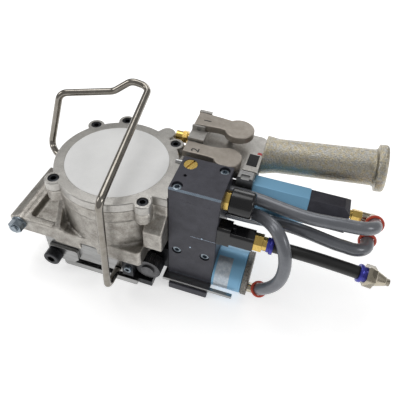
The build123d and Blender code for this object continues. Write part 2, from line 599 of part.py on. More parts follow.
PIVOT_1_Z = LEVER_1_Z + LEVER_THICKNESS / 2
PIVOT_2_Z = LEVER_2_Z + LEVER_THICKNESS / 2
with BuildPart() as lever_housing:
    block((HOUSING_LEFT, 42, HOUSING_BOTTOM), (HOUSING_RIGHT, HOUSING_BACK, HOUSING_TOP))
    block((HOUSING_LEFT, HOUSING_FRONT, HOUSING_TOP - 8), (UPPER_LEFT - CLEAR, 42, HOUSING_TOP))
    fillet(lever_housing.edges().filter_by(Axis.Z).group_by(Axis.Y)[-1], 8)
    # raised block between the levers, which ends the pivots
    block((HOUSING_LEFT, 42, HOUSING_TOP), (73, 56, 138))
    # pad of the grip's root
    block((118, 24, HOUSING_TOP), (HOUSING_RIGHT, 50, HOUSING_TOP + 4))
    # ears of lever 1
    block((HOUSING_LEFT, 56, HOUSING_TOP), (72, HOUSING_BACK - 4, LEVER_1_Z - 2))
    block((HOUSING_LEFT, 80.5, HOUSING_TOP), (70, HOUSING_BACK, 143))
    block((HOUSING_LEFT, 56, HOUSING_TOP), (70, 57.5, 143))
    # valve wells under the levers
    with Locations((STEM_X, LEVER_1_Y, HOUSING_TOP), (STEM_X, LEVER_2_Y + 2, HOUSING_TOP)):
        Hole(STEM_RADIUS + RUNNING, 12)
    with Locations((BUTTON_X, BUTTON_Y, HOUSING_TOP)):
        Hole(BUTTON_RADIUS + RUNNING, 5)
    for y0, y1, z in ((55, 85, PIVOT_1_Z), (15, 50, PIVOT_2_Z)):
        rod((LEVER_PIN_X, y0, z), (LEVER_PIN_X, y1, z), LEVER_PIN_RADIUS + RUNNING, mode=Mode.SUBTRACT)

with BuildPart() as lever_1:
    with BuildSketch(Plane.XY.offset(LEVER_1_Z)):
        with Locations((PADDLE_X, 66)):
            Circle(PADDLE_RADIUS)
        with BuildLine():
            Polyline((58, 58), (58, 80), (84, 78), (100, 76), (100, 58), (84, 60), close=True)
        make_face()
    extrude(amount=LEVER_THICKNESS)
    fillet(lever_1.faces().sort_by(Axis.Z)[-1].edges(), 1.2)
    rod((LEVER_PIN_X, 40, PIVOT_1_Z), (LEVER_PIN_X, 90, PIVOT_1_Z), LEVER_PIN_RADIUS + RUNNING,
        mode=Mode.SUBTRACT)

with BuildPart() as lever_2:
    with BuildSketch(Plane.XY.offset(LEVER_2_Z)):
        with Locations((PADDLE_X - 2, 30)):
            Circle(PADDLE_RADIUS - 1)
        with BuildLine():
            Polyline((57.5, 24), (57.5, 41), (82, 40), (96, 42), (96, 22), (82, 24), close=True)
        make_face()
    extrude(amount=LEVER_THICKNESS)
    fillet(lever_2.faces().sort_by(Axis.Z)[-1].edges(), 1.2)
    rod((LEVER_PIN_X, 10, PIVOT_2_Z), (LEVER_PIN_X, 60, PIVOT_2_Z), LEVER_PIN_RADIUS + RUNNING,
        mode=Mode.SUBTRACT)

with BuildPart() as dowel_pins:
    rod((LEVER_PIN_X, 56, PIVOT_1_Z), (LEVER_PIN_X, HOUSING_BACK, PIVOT_1_Z), LEVER_PIN_RADIUS)
    rod((LEVER_PIN_X, 24.5, PIVOT_2_Z), (LEVER_PIN_X, 50, PIVOT_2_Z), LEVER_PIN_RADIUS)
    # bright guide pin in the casting's front window, and the small pin beside the valve block
    rod((-21, WING_FRONT + 5, 49), (-3, WING_FRONT + 5, 49), 3)
    rod((56.5, 9, 134), (BLOCK_LEFT, 9, 134), 2.5)

with BuildPart() as valve_stem_1:
    rod((STEM_X, LEVER_1_Y, HOUSING_TOP - 2), (STEM_X, LEVER_1_Y, LEVER_1_Z - CLEAR), STEM_RADIUS)
    fillet(valve_stem_1.edges().filter_by(GeomType.CIRCLE).sort_by(Axis.Z)[-1], STEM_ROUND)

with BuildPart() as valve_stem_2:
    rod((STEM_X, LEVER_2_Y + 2, HOUSING_TOP - 2), (STEM_X, LEVER_2_Y + 2, LEVER_2_Z - CLEAR),
        STEM_RADIUS)
    fillet(valve_stem_2.edges().filter_by(GeomType.CIRCLE).sort_by(Axis.Z)[-1], STEM_ROUND)

grip_plane = Plane(origin=GRIP_ROOT, x_dir=(0, 1, 0),
                   z_dir=(math.cos(math.radians(GRIP_TILT)), 0, math.sin(math.radians(GRIP_TILT))))
with BuildPart() as handle_grip:
    with BuildSketch(grip_plane):
        Circle(GRIP_RADIUS)
    extrude(amount=GRIP_LENGTH)
    with BuildSketch(grip_plane.offset(GRIP_LENGTH)):
        Circle(GRIP_FLANGE_RADIUS)
    extrude(amount=GRIP_FLANGE_THICKNESS)
    fillet(handle_grip.edges().filter_by(GeomType.CIRCLE).sort_by(Axis.X)[-2:],
           (GRIP_FLANGE_RADIUS - GRIP_RADIUS) / 2)
    # root collar that spreads to the housing
    with BuildSketch(grip_plane.offset(-2)):
        Circle(20)
    with BuildSketch(grip_plane.offset(14)):
        Circle(GRIP_RADIUS)
    loft()
    block((100, 20, 80), (HOUSING_RIGHT, 100, 180), mode=Mode.SUBTRACT)
    with BuildSketch(grip_plane.offset(-6)):
        Circle(GRIP_BORE)
    extrude(amount=GRIP_LENGTH - 10, mode=Mode.SUBTRACT)

with BuildPart() as red_button:
    rod((BUTTON_X, BUTTON_Y, HOUSING_TOP - 3), (BUTTON_X, BUTTON_Y, HOUSING_TOP + 2.5), BUTTON_RADIUS)
    fillet(red_button.edges().group_by(Axis.Z)[-1], 0.6)

# ================= upper motor =================

with BuildPart() as motor_clamp:
    block((114, 13, 90), (129, 38, HOUSING_TOP - 8))
    chamfer(motor_clamp.edges().filter_by(Axis.X), 1.5)
    rod((113, UPPER_Y, UPPER_Z), (130, UPPER_Y, UPPER_Z), UPPER_NOSE_RADIUS + SEAT, mode=Mode.SUBTRACT)
    # mounting lug against the valve block
    block((BLOCK_RIGHT - 6, 13, 92), (114, 15, 112))
    block((BLOCK_RIGHT - 6, BLOCK_BACK, 92), (BLOCK_RIGHT, 13, 112))

with BuildPart() as clamp_bracket:
    block((115, 12, HOUSING_TOP - 8), (131, HOUSING_FRONT, 131))
    chamfer(clamp_bracket.edges().filter_by(Axis.Y), 1)
    block((119, 11, 129), (127, 17, 133), mode=Mode.SUBTRACT)

with BuildPart() as upper_motor_casing:
    with BuildSketch(Plane.YZ.offset(UPPER_LEFT)):
        with Locations((UPPER_Y, UPPER_Z)):
            RegularPolygon(UPPER_MOTOR_RADIUS, 8, major_radius=False, rotation=22.5)
            fillet(vertices(), 1.5)
    extrude(amount=UPPER_JOINT - UPPER_LEFT)
    rod((BLOCK_RIGHT + 2, UPPER_Y, UPPER_Z), (UPPER_LEFT, UPPER_Y, UPPER_Z), UPPER_NOSE_RADIUS)
    rod((UPPER_LEFT + 4, UPPER_Y, UPPER_Z), (UPPER_JOINT + 1, UPPER_Y, UPPER_Z), UPPER_MOTOR_RADIUS - 3.5,
        mode=Mode.SUBTRACT)
    rod((BLOCK_RIGHT, UPPER_Y, UPPER_Z), (UPPER_LEFT + 5, UPPER_Y, UPPER_Z), UPPER_SHAFT_RADIUS + RUNNING,
        mode=Mode.SUBTRACT)

with BuildPart() as upper_motor_end:
    with BuildSketch(Plane.YZ.offset(UPPER_JOINT)):
        with Locations((UPPER_Y, UPPER_Z)):
            RegularPolygon(UPPER_MOTOR_RADIUS - 0.8, 8, major_radius=False, rotation=22.5)
            fillet(vertices(), 2)
    extrude(amount=UPPER_RIGHT - UPPER_JOINT)
    add(Pos(UPPER_RIGHT, UPPER_Y, UPPER_Z + UPPER_MOTOR_RADIUS) * Rot(0, 35, 0)
        * Box(20, 60, 8, mode=Mode.PRIVATE), mode=Mode.SUBTRACT)
    rod((UPPER_JOINT - 1, UPPER_Y, UPPER_Z), (UPPER_JOINT + 8, UPPER_Y, UPPER_Z), 6, mode=Mode.SUBTRACT)

with BuildPart() as upper_motor_rotor:
    rod((66, UPPER_Y, UPPER_Z), (UPPER_JOINT + 6, UPPER_Y, UPPER_Z), UPPER_SHAFT_RADIUS)
    rod((UPPER_LEFT + 6, UPPER_Y, UPPER_Z), (UPPER_JOINT - 4, UPPER_Y, UPPER_Z), UPPER_ROTOR_RADIUS)

with BuildPart() as shaft_housing:
    # gear case behind the valve block, bolted to the casting's pad
    block((SHAFT_HOUSING_LEFT, 16.5, 90), (82, 36, HOUSING_TOP - 8))
    rod((82, UPPER_Y, UPPER_Z), (BLOCK_RIGHT + 2, UPPER_Y, UPPER_Z), 8)
    rod((64, UPPER_Y, UPPER_Z), (BLOCK_RIGHT + 3, UPPER_Y, UPPER_Z), UPPER_SHAFT_RADIUS + RUNNING,
        mode=Mode.SUBTRACT)

PORTS = [(108.0, (0.0, -0.85, 0.53)), (93.0, (0.0, -0.98, 0.2))]
PORT_X = UPPER_RIGHT + 12
UPPER_ELBOW_REACH, UPPER_ELBOW_ARM = 10.0, 13.8
LOWER_ELBOW_REACH, LOWER_ELBOW_ARM = 9.0, 7.0
LOWER_ELBOW_DIRECTION = (0.30, -0.45, 0.84)


def along(start, direction, distance):
    """The point that lies a distance along a direction from the start."""
    return tuple(Vector(*start) + Vector(*direction).normalized() * distance)


elbow_centres = [(PORT_X + UPPER_ELBOW_REACH, UPPER_Y, z) for z, _ in PORTS]
elbow_centres.append((RING_RIGHT + LOWER_ELBOW_REACH, LOWER_PORT_Y, LOWER_PORT_Z))
elbow_directions = [d for _, d in PORTS] + [LOWER_ELBOW_DIRECTION]
elbow_arms = (UPPER_ELBOW_ARM, UPPER_ELBOW_ARM, LOWER_ELBOW_ARM)
collar_starts = [along(c, d, arm) for c, d, arm in zip(elbow_centres, elbow_directions, elbow_arms)]

with BuildPart() as hose_elbows:
    for (z, _), centre, start in zip(PORTS, elbow_centres, collar_starts):
        rod((PORT_X, UPPER_Y, z), centre, 5)
        with Locations(Location(centre)):
            Sphere(5.6)
        rod(centre, start, 5.6)
    rod((RING_RIGHT, LOWER_PORT_Y, LOWER_PORT_Z), elbow_centres[2], 5)
    with Locations(Location(elbow_centres[2])):
        Sphere(5.6)
    rod(elbow_centres[2], collar_starts[2], 5.6)

collar_ends = [along(s, d, COLLAR_LENGTH) for s, d in zip(collar_starts, elbow_directions)]
with BuildPart() as hose_collars:
    for start, end in zip(collar_starts, collar_ends):
        rod(start, end, COLLAR_RADIUS - 1)

# ================= muffler and air inlet =================

with BuildPart() as muffler_cap:
    rod((BLOCK_RIGHT + 5, MUFFLER_Y, MUFFLER_Z), (BLOCK_RIGHT + 5 + MUFFLER_LENGTH, MUFFLER_Y, MUFFLER_Z),
        MUFFLER_RADIUS)
    fillet(muffler_cap.edges().group_by(Axis.X)[-1], 3)
    fillet(muffler_cap.edges().group_by(Axis.X)[0], 1.5)

INLET_RIGHT = BLOCK_RIGHT + INLET_BODY_LENGTH
with BuildPart() as inlet_body:
    block((BLOCK_RIGHT, INLET_Y - 8, INLET_Z - 11), (BLOCK_RIGHT + 12, INLET_Y + 8, INLET_Z + 12))
    block((BLOCK_RIGHT + 12, INLET_Y - 8, INLET_Z - 8), (INLET_RIGHT, INLET_Y + 8, INLET_Z + 8))
    fillet(inlet_body.edges().filter_by(Axis.X), 3)
    rod((BLOCK_RIGHT + 14, INLET_Y, INLET_Z + 7), (BLOCK_RIGHT + 14, INLET_Y, INLET_Z + 13), 2.5)

with BuildPart() as brass_fittings:
    # plug of the cylinder's air way
    rod((BARE_EAR_SPOTS[0][0] + EAR_RADIUS + SEAT, 62, 121), (46, 62, 121), 5)
    hexagon((46, 62, 121), (51, 62, 121), 6)
    rod((51, 62, 121), (HOUSING_LEFT, 62, 121), 4)
    # nipples of the upper motor's ports
    for z, _ in PORTS:
        rod((UPPER_RIGHT, UPPER_Y, z), (UPPER_RIGHT + 3, UPPER_Y, z), 4)
        hexagon((UPPER_RIGHT + 3, UPPER_Y, z), (PORT_X, UPPER_Y, z), 5)
    # seat of the muffler
    hexagon((BLOCK_RIGHT, MUFFLER_Y, MUFFLER_Z), (BLOCK_RIGHT + 5, MUFFLER_Y, MUFFLER_Z), 8)
    # inlet fitting
    hexagon((INLET_RIGHT, INLET_Y, INLET_Z), (INLET_RIGHT + 8, INLET_Y, INLET_Z), FITTING_HEX)
    rod((INLET_RIGHT + 8, INLET_Y, INLET_Z), (INLET_RIGHT + 12, INLET_Y, INLET_Z), 6.5)

TUBE_START = (INLET_RIGHT + 18.0, INLET_Y, INLET_Z)
TUBE_END = (241.0, -26.0, 89.0)
TUBE_ROUTE = [TUBE_START, (190.0, INLET_Y, INLET_Z), (216.0, -26.6, 92.2), TUBE_END]
TUBE_EXIT = tuple(Vector(*TUBE_ROUTE[-1]) - Vector(*TUBE_ROUTE[-2]))

with BuildPart() as tube_collars:
    rod((INLET_RIGHT + 12, INLET_Y, INLET_Z), TUBE_START, COLLAR_RADIUS - 0.6)
    rod(TUBE_END, along(TUBE_END, TUBE_EXIT, 6), COLLAR_RADIUS - 0.6)

with BuildPart() as air_nipple:
    hex_start = along(TUBE_END, TUBE_EXIT, 6)
    hex_end = along(TUBE_END, TUBE_EXIT, 14)
    hexagon(hex_start, hex_end, 9)
    cone_plane = Plane(origin=hex_end, z_dir=TUBE_EXIT)
    with BuildSketch(cone_plane):
        Circle(8)
    with BuildSketch(cone_plane.offset(11)):
        Circle(4)
    loft()
    rod(along(hex_end, TUBE_EXIT, 10.9), along(hex_end, TUBE_EXIT, 14), 3.4)
    rod(along(hex_end, TUBE_EXIT, 2), along(hex_end, TUBE_EXIT, 15), 2, mode=Mode.SUBTRACT)

# ================= hoses =================

# each hose starts square on the valve block and ends square in its collar; the bends near it are tight
HOSE_EXITS = (6.2, 6.2, 9.0)
hose_exits = [along(c, d, run) for c, d, run in zip(collar_ends, elbow_directions, HOSE_EXITS)]
HOSE_1 = [(BLOCK_RIGHT, 4.0, 117.5), (136.0, 4.0, 117.5), (160.0, -1.2, 118.4), (186.0, -7.0, 120.4),
          (205.0, -8.4, 123.2), (217.0, -8.2, 124.6), (225.4, -8.3, 125.2), (231.7, -8.4, 126.1),
          (237.7, -6.3, 125.7), (242.4, -2.4, 124.0), hose_exits[0], collar_ends[0]]
HOSE_2 = [(BLOCK_RIGHT, 5.0, 88.0), (136.0, 5.0, 88.0), (160.0, 1.4, 95.0), (184.0, -6.5, 102.5),
          (204.0, -11.0, 103.4), (217.0, -12.2, 102.2), (225.4, -11.9, 101.6), (231.8, -12.4, 101.3),
          (237.8, -10.4, 100.5), (242.5, -6.2, 99.3), hose_exits[1], collar_ends[1]]
HOSE_3 = [(BLOCK_RIGHT, -2.0, 103.0), (134.0, -2.0, 103.0), (151.0, -13.0, 111.5), (164.0, -27.0, 116.0),
          (174.0, -37.0, 105.0), (178.5, -41.5, 88.0), (178.0, -42.5, 68.0), (172.5, -41.5, 52.5),
          hose_exits[2], collar_ends[2]]

hose_1 = hose("hose_1", HOSE_1)
hose_2 = hose("hose_2", HOSE_2)
hose_3 = hose("hose_3", HOSE_3)
inlet_tube = hose("inlet_tube", TUBE_ROUTE)

# ================= bail =================

BAIL_ROUTE = [(14, -41, 19), (14, -75, 19), (20, -75, 145), (7, 68, 167), (-11, 66, 171), (-30, 62, 157),
              (-80, 42, 155), (-93, 27, 96), (-80, 16, 95), (-58, 16, 95)]
BAIL_RADII = [9, 9, 9, 12, 12, 10, 8, 12]
with BuildLine() as bail_line:
    FilletPolyline(*BAIL_ROUTE, radius=BAIL_RADII)
bail_path = bail_line.wire()
with BuildPart() as bail:
    with BuildSketch(Plane(origin=bail_path @ 0, z_dir=bail_path % 0)):
        Circle(BAIL_RADIUS)
    sweep(path=bail_path)

PIECES = {
    "cylinder_body": cylinder_body, "cylinder_cover": cylinder_cover, "cover_disc": cover_disc,
    "cover_screws": cover_screws, "sealing_piston": sealing_piston, "piston_seal": piston_seal,
    "piston_rod": piston_rod, "rod_bushing": rod_bushing, "return_spring": return_spring,
    "seal_punch": seal_punch, "strap_cutter": strap_cutter, "base_plate": base_plate,
    "seal_die": seal_die, "wheel_counter_plate": wheel_counter_plate, "jaw_housing": jaw_housing,
    "gripper_pin": gripper_pin, "gripper_lever": gripper_lever, "cross_bolt": cross_bolt,
    "wheel_housing": wheel_housing, "cap_screws": cap_screws, "ball_bearings": ball_bearings,
    "feed_wheel": feed_wheel, "wheel_shaft": wheel_shaft, "bevel_gear": bevel_gear,
    "bevel_pinion": bevel_pinion, "lower_motor_rotor": lower_motor_rotor, "gear_tube": gear_tube,
    "lower_motor_casing": lower_motor_casing, "exhaust_ring": exhaust_ring, "valve_block": valve_block,
    "block_cap": block_cap, "throttle_screw": throttle_screw, "base_rail": base_rail,
    "block_foot": block_foot, "lever_housing": lever_housing, "lever_1": lever_1, "lever_2": lever_2,
    "dowel_pins": dowel_pins, "valve_stem_1": valve_stem_1, "valve_stem_2": valve_stem_2,
    "handle_grip": handle_grip, "red_button": red_button, "motor_clamp": motor_clamp,
    "clamp_bracket": clamp_bracket, "upper_motor_casing": upper_motor_casing,
    "upper_motor_end": upper_motor_end, "upper_motor_rotor": upper_motor_rotor,
    "shaft_housing": shaft_housing, "hose_elbows": hose_elbows, "hose_collars": hose_collars,
    "air_nipple": air_nipple, "bail": bail, "brass_fittings": brass_fittings,
    "muffler_cap": muffler_cap, "inlet_body": inlet_body, "inlet_tube": inlet_tube, "hose_1": hose_1,
    "hose_2": hose_2, "hose_3": hose_3, "tube_collars": tube_collars,
}

os.makedirs("parts", exist_ok=True)
for label, piece in PIECES.items():
    piece.part.label = label
    export_step(piece.part, f"parts/{label}.step")
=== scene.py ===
"""Looks of an air-powered sealless strapping tool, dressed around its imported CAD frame, in metres."""
import json
import logging
import math
from dataclasses import dataclass, field
from enum import Enum
from typing import Iterable

import bmesh
import bpy
from mathutils import Matrix, Vector


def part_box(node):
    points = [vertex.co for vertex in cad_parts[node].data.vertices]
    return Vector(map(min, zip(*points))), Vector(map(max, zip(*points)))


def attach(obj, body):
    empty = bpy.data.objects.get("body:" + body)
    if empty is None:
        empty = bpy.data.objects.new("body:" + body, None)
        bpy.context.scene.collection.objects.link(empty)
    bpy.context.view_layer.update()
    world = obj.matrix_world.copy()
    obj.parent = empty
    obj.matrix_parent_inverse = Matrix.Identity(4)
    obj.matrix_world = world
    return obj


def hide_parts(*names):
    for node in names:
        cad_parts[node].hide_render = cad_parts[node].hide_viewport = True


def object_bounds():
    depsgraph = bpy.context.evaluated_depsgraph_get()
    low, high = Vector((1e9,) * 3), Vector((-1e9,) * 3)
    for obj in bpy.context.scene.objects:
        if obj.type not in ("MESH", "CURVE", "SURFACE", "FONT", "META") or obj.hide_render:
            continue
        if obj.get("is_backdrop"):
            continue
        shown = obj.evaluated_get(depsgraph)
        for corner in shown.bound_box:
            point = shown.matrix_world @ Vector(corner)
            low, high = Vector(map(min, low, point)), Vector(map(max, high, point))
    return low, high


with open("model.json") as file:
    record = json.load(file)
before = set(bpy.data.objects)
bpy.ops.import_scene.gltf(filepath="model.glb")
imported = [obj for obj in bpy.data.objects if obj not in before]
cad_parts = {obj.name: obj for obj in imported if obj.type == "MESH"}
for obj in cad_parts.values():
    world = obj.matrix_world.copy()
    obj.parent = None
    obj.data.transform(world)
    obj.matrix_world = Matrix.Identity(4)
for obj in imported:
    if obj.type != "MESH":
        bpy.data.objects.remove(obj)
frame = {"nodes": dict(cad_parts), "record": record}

MM = 0.001
UP = Vector((0.0, 0.0, 1.0))
MERGE_DISTANCE = 2e-6
FLAT_ANGLE = math.radians(0.05)
SHARP_ANGLE = math.radians(38.0)
SEED = 7
Point = tuple[float, float, float]
Colour = tuple[float, float, float]

log = logging.getLogger("strapping_tool")


# ---------------------------------------------------------------------------------------------------
# finishes
# ---------------------------------------------------------------------------------------------------

@dataclass(frozen=True)
class Finish:
    """One kind of surface: two colours that mottle into each other, its gloss and its grain.

    Lengths are in metres. Stretch squeezes the pattern along each axis, which makes brushed streaks.
    """

    name: str
    colour: Colour
    mottle: Colour
    metallic: float = 0.0
    roughness: float = 0.4
    spread: float = 0.08
    mottle_size: float = 0.014
    grain_size: float = 0.001
    grain_depth: float = 0.00002
    speckle: float = 0.1
    # edge sets both how much the worn edges lighten and how much painted shade darkens concave hollows
    edge: float = 0.0
    coat: float = 0.0
    stretch: Point = (1.0, 1.0, 1.0)

    def material(self) -> bpy.types.Material:
        """Build the material once and hand the same one back after that.

        Returns:
            The material of this finish.
        """
        found = bpy.data.materials.get(self.name)
        if found is not None:
            return found
        made = bpy.data.materials.new(self.name)
        made.use_nodes = True
        nodes, links = made.node_tree.nodes, made.node_tree.links
        shader = nodes["Principled BSDF"]
        shader.inputs["Metallic"].default_value = self.metallic
        shader.inputs["Coat Weight"].default_value = self.coat
        shader.inputs["Coat Roughness"].default_value = 0.12
        place = nodes.new("ShaderNodeTexCoord")
        squeeze = nodes.new("ShaderNodeMapping")
        squeeze.inputs["Scale"].default_value = self.stretch
        links.new(place.outputs["Object"], squeeze.inputs["Vector"])
        grain = nodes.new("ShaderNodeGroup")
        grain.node_tree = surface_group()
        links.new(squeeze.outputs["Vector"], grain.inputs["Vector"])
        settings = {
            "Colour": (*self.colour, 1.0),
            "Mottle Colour": (*self.mottle, 1.0),
            "Mottle Scale": 1.0 / self.mottle_size,
            "Grain Scale": 1.0 / self.grain_size,
            "Grain Depth": self.grain_depth,
            "Speckle": self.speckle,
            "Roughness": self.roughness,
            "Spread": self.spread,
            "Edge": self.edge,
        }
        for socket, value in settings.items():
            grain.inputs[socket].default_value = value
        links.new(grain.outputs["Colour"], shader.inputs["Base Color"])
        links.new(grain.outputs["Roughness"], shader.inputs["Roughness"])
        links.new(grain.outputs["Normal"], shader.inputs["Normal"])
        return made


def surface_group() -> bpy.types.NodeTree:
    """The shader group that every finish shares: mottling, speckle, worn edges, painted shade darkening the
    hollows, gloss and a grain bump.

    Returns:
        The node group, built on the first call.
    """
    name = "mottle_grain_wear_and_hollow_shade"
    found = bpy.data.node_groups.get(name)
    if found is not None:
        return found
    tree = bpy.data.node_groups.new(name, "ShaderNodeTree")
    face = tree.interface
    for label, kind in (("Vector", "NodeSocketVector"), ("Colour", "NodeSocketColor"),
                        ("Mottle Colour", "NodeSocketColor"), ("Mottle Scale", "NodeSocketFloat"),
                        ("Grain Scale", "NodeSocketFloat"), ("Grain Depth", "NodeSocketFloat"),
                        ("Speckle", "NodeSocketFloat"), ("Roughness", "NodeSocketFloat"),
                        ("Spread", "NodeSocketFloat"), ("Edge", "NodeSocketFloat")):
        face.new_socket(label, in_out="INPUT", socket_type=kind)
    for label, kind in (("Colour", "NodeSocketColor"), ("Roughness", "NodeSocketFloat"),
                        ("Normal", "NodeSocketVector")):
        face.new_socket(label, in_out="OUTPUT", socket_type=kind)
    nodes, links = tree.nodes, tree.links
    given = nodes.new("NodeGroupInput")
    result = nodes.new("NodeGroupOutput")

    blotch = noise(tree, given.outputs["Vector"], given.outputs["Mottle Scale"], 5.0)
    patch = ranged(tree, blotch, 0.36, 0.64, 0.0, 1.0)
    body = nodes.new("ShaderNodeMix")
    body.data_type = "RGBA"
    links.new(patch, body.inputs["Factor"])
    links.new(given.outputs["Colour"], body.inputs["A"])
    links.new(given.outputs["Mottle Colour"], body.inputs["B"])

    fine = noise(tree, given.outputs["Vector"], given.outputs["Grain Scale"], 3.0)
    dots = ranged(tree, fine, 0.3, 0.7, -1.0, 1.0)
    dark = math_node(tree, "MULTIPLY_ADD", dots, given.outputs["Speckle"], 1.0)
    edge = nodes.new("ShaderNodeNewGeometry")
    raised = ranged(tree, edge.outputs["Pointiness"], 0.505, 0.56, 0.0, 1.0)
    worn = math_node(tree, "MULTIPLY_ADD", raised, given.outputs["Edge"], dark)
    # painted shade: concave hollows (low pointiness) are darkened by the same amount that lightens the worn
    # edges
    hollow = ranged(tree, edge.outputs["Pointiness"], 0.42, 0.495, 1.0, 0.0)
    painted_hollow_shade = math_node(tree, "MULTIPLY", hollow, given.outputs["Edge"])
    level = math_node(tree, "SUBTRACT", worn, painted_hollow_shade)
    shade = nodes.new("ShaderNodeVectorMath")
    shade.operation = "SCALE"
    links.new(body.outputs["Result"], shade.inputs[0])
    links.new(level, shade.inputs["Scale"])
    links.new(shade.outputs["Vector"], result.inputs["Colour"])

    sheen = math_node(tree, "SUBTRACT", blotch, 0.5)
    rough = math_node(tree, "MULTIPLY_ADD", sheen, given.outputs["Spread"], given.outputs["Roughness"])
    links.new(rough, result.inputs["Roughness"])
    bump = nodes.new("ShaderNodeBump")
    links.new(fine, bump.inputs["Height"])
    links.new(given.outputs["Grain Depth"], bump.inputs["Distance"])
    links.new(bump.outputs["Normal"], result.inputs["Normal"])
    return tree


def noise(tree: bpy.types.NodeTree, vector: bpy.types.NodeSocket, scale: bpy.types.NodeSocket,
          detail: float) -> bpy.types.NodeSocket:
    """Add a noise texture.

    Args:
        tree: The tree it joins.
        vector: Where the pattern is read.
        scale: The socket that sets its scale.
        detail: How many octaves it has.

    Returns:
        Its value.
    """
    node = tree.nodes.new("ShaderNodeTexNoise")
    node.inputs["Detail"].default_value = detail
    node.inputs["Roughness"].default_value = 0.6
    tree.links.new(vector, node.inputs["Vector"])
    tree.links.new(scale, node.inputs["Scale"])
    return node.outputs["Fac"]


def ranged(tree: bpy.types.NodeTree, value: bpy.types.NodeSocket, low: float, high: float, to_low: float,
           to_high: float) -> bpy.types.NodeSocket:
    """Stretch a value from one range to another, and clip it there.

    Args:
        tree: The tree the node joins.
        value: What is stretched.
        low: The value that becomes to_low.
        high: The value that becomes to_high.
        to_low: The result at low.
        to_high: The result at high.

    Returns:
        The stretched value.
    """
    node = tree.nodes.new("ShaderNodeMapRange")
    tree.links.new(value, node.inputs["Value"])
    for socket, number in (("From Min", low), ("From Max", high), ("To Min", to_low), ("To Max", to_high)):
        node.inputs[socket].default_value = number
    return node.outputs["Result"]


def math_node(tree: bpy.types.NodeTree, operation: str,
              *values: bpy.types.NodeSocket | float) -> bpy.types.NodeSocket:
    """Add a math node.

    Args:
        tree: The tree it joins.
        operation: Blender's name of the operation.
        values: Its inputs, each a socket or a number.

    Returns:
        Its result.
    """
    node = tree.nodes.new("ShaderNodeMath")
    node.operation = operation
    for socket, value in zip(node.inputs, values):
        if isinstance(value, (int, float)):
            socket.default_value = value
        else:
            tree.links.new(value, socket)
    return node.outputs["Value"]


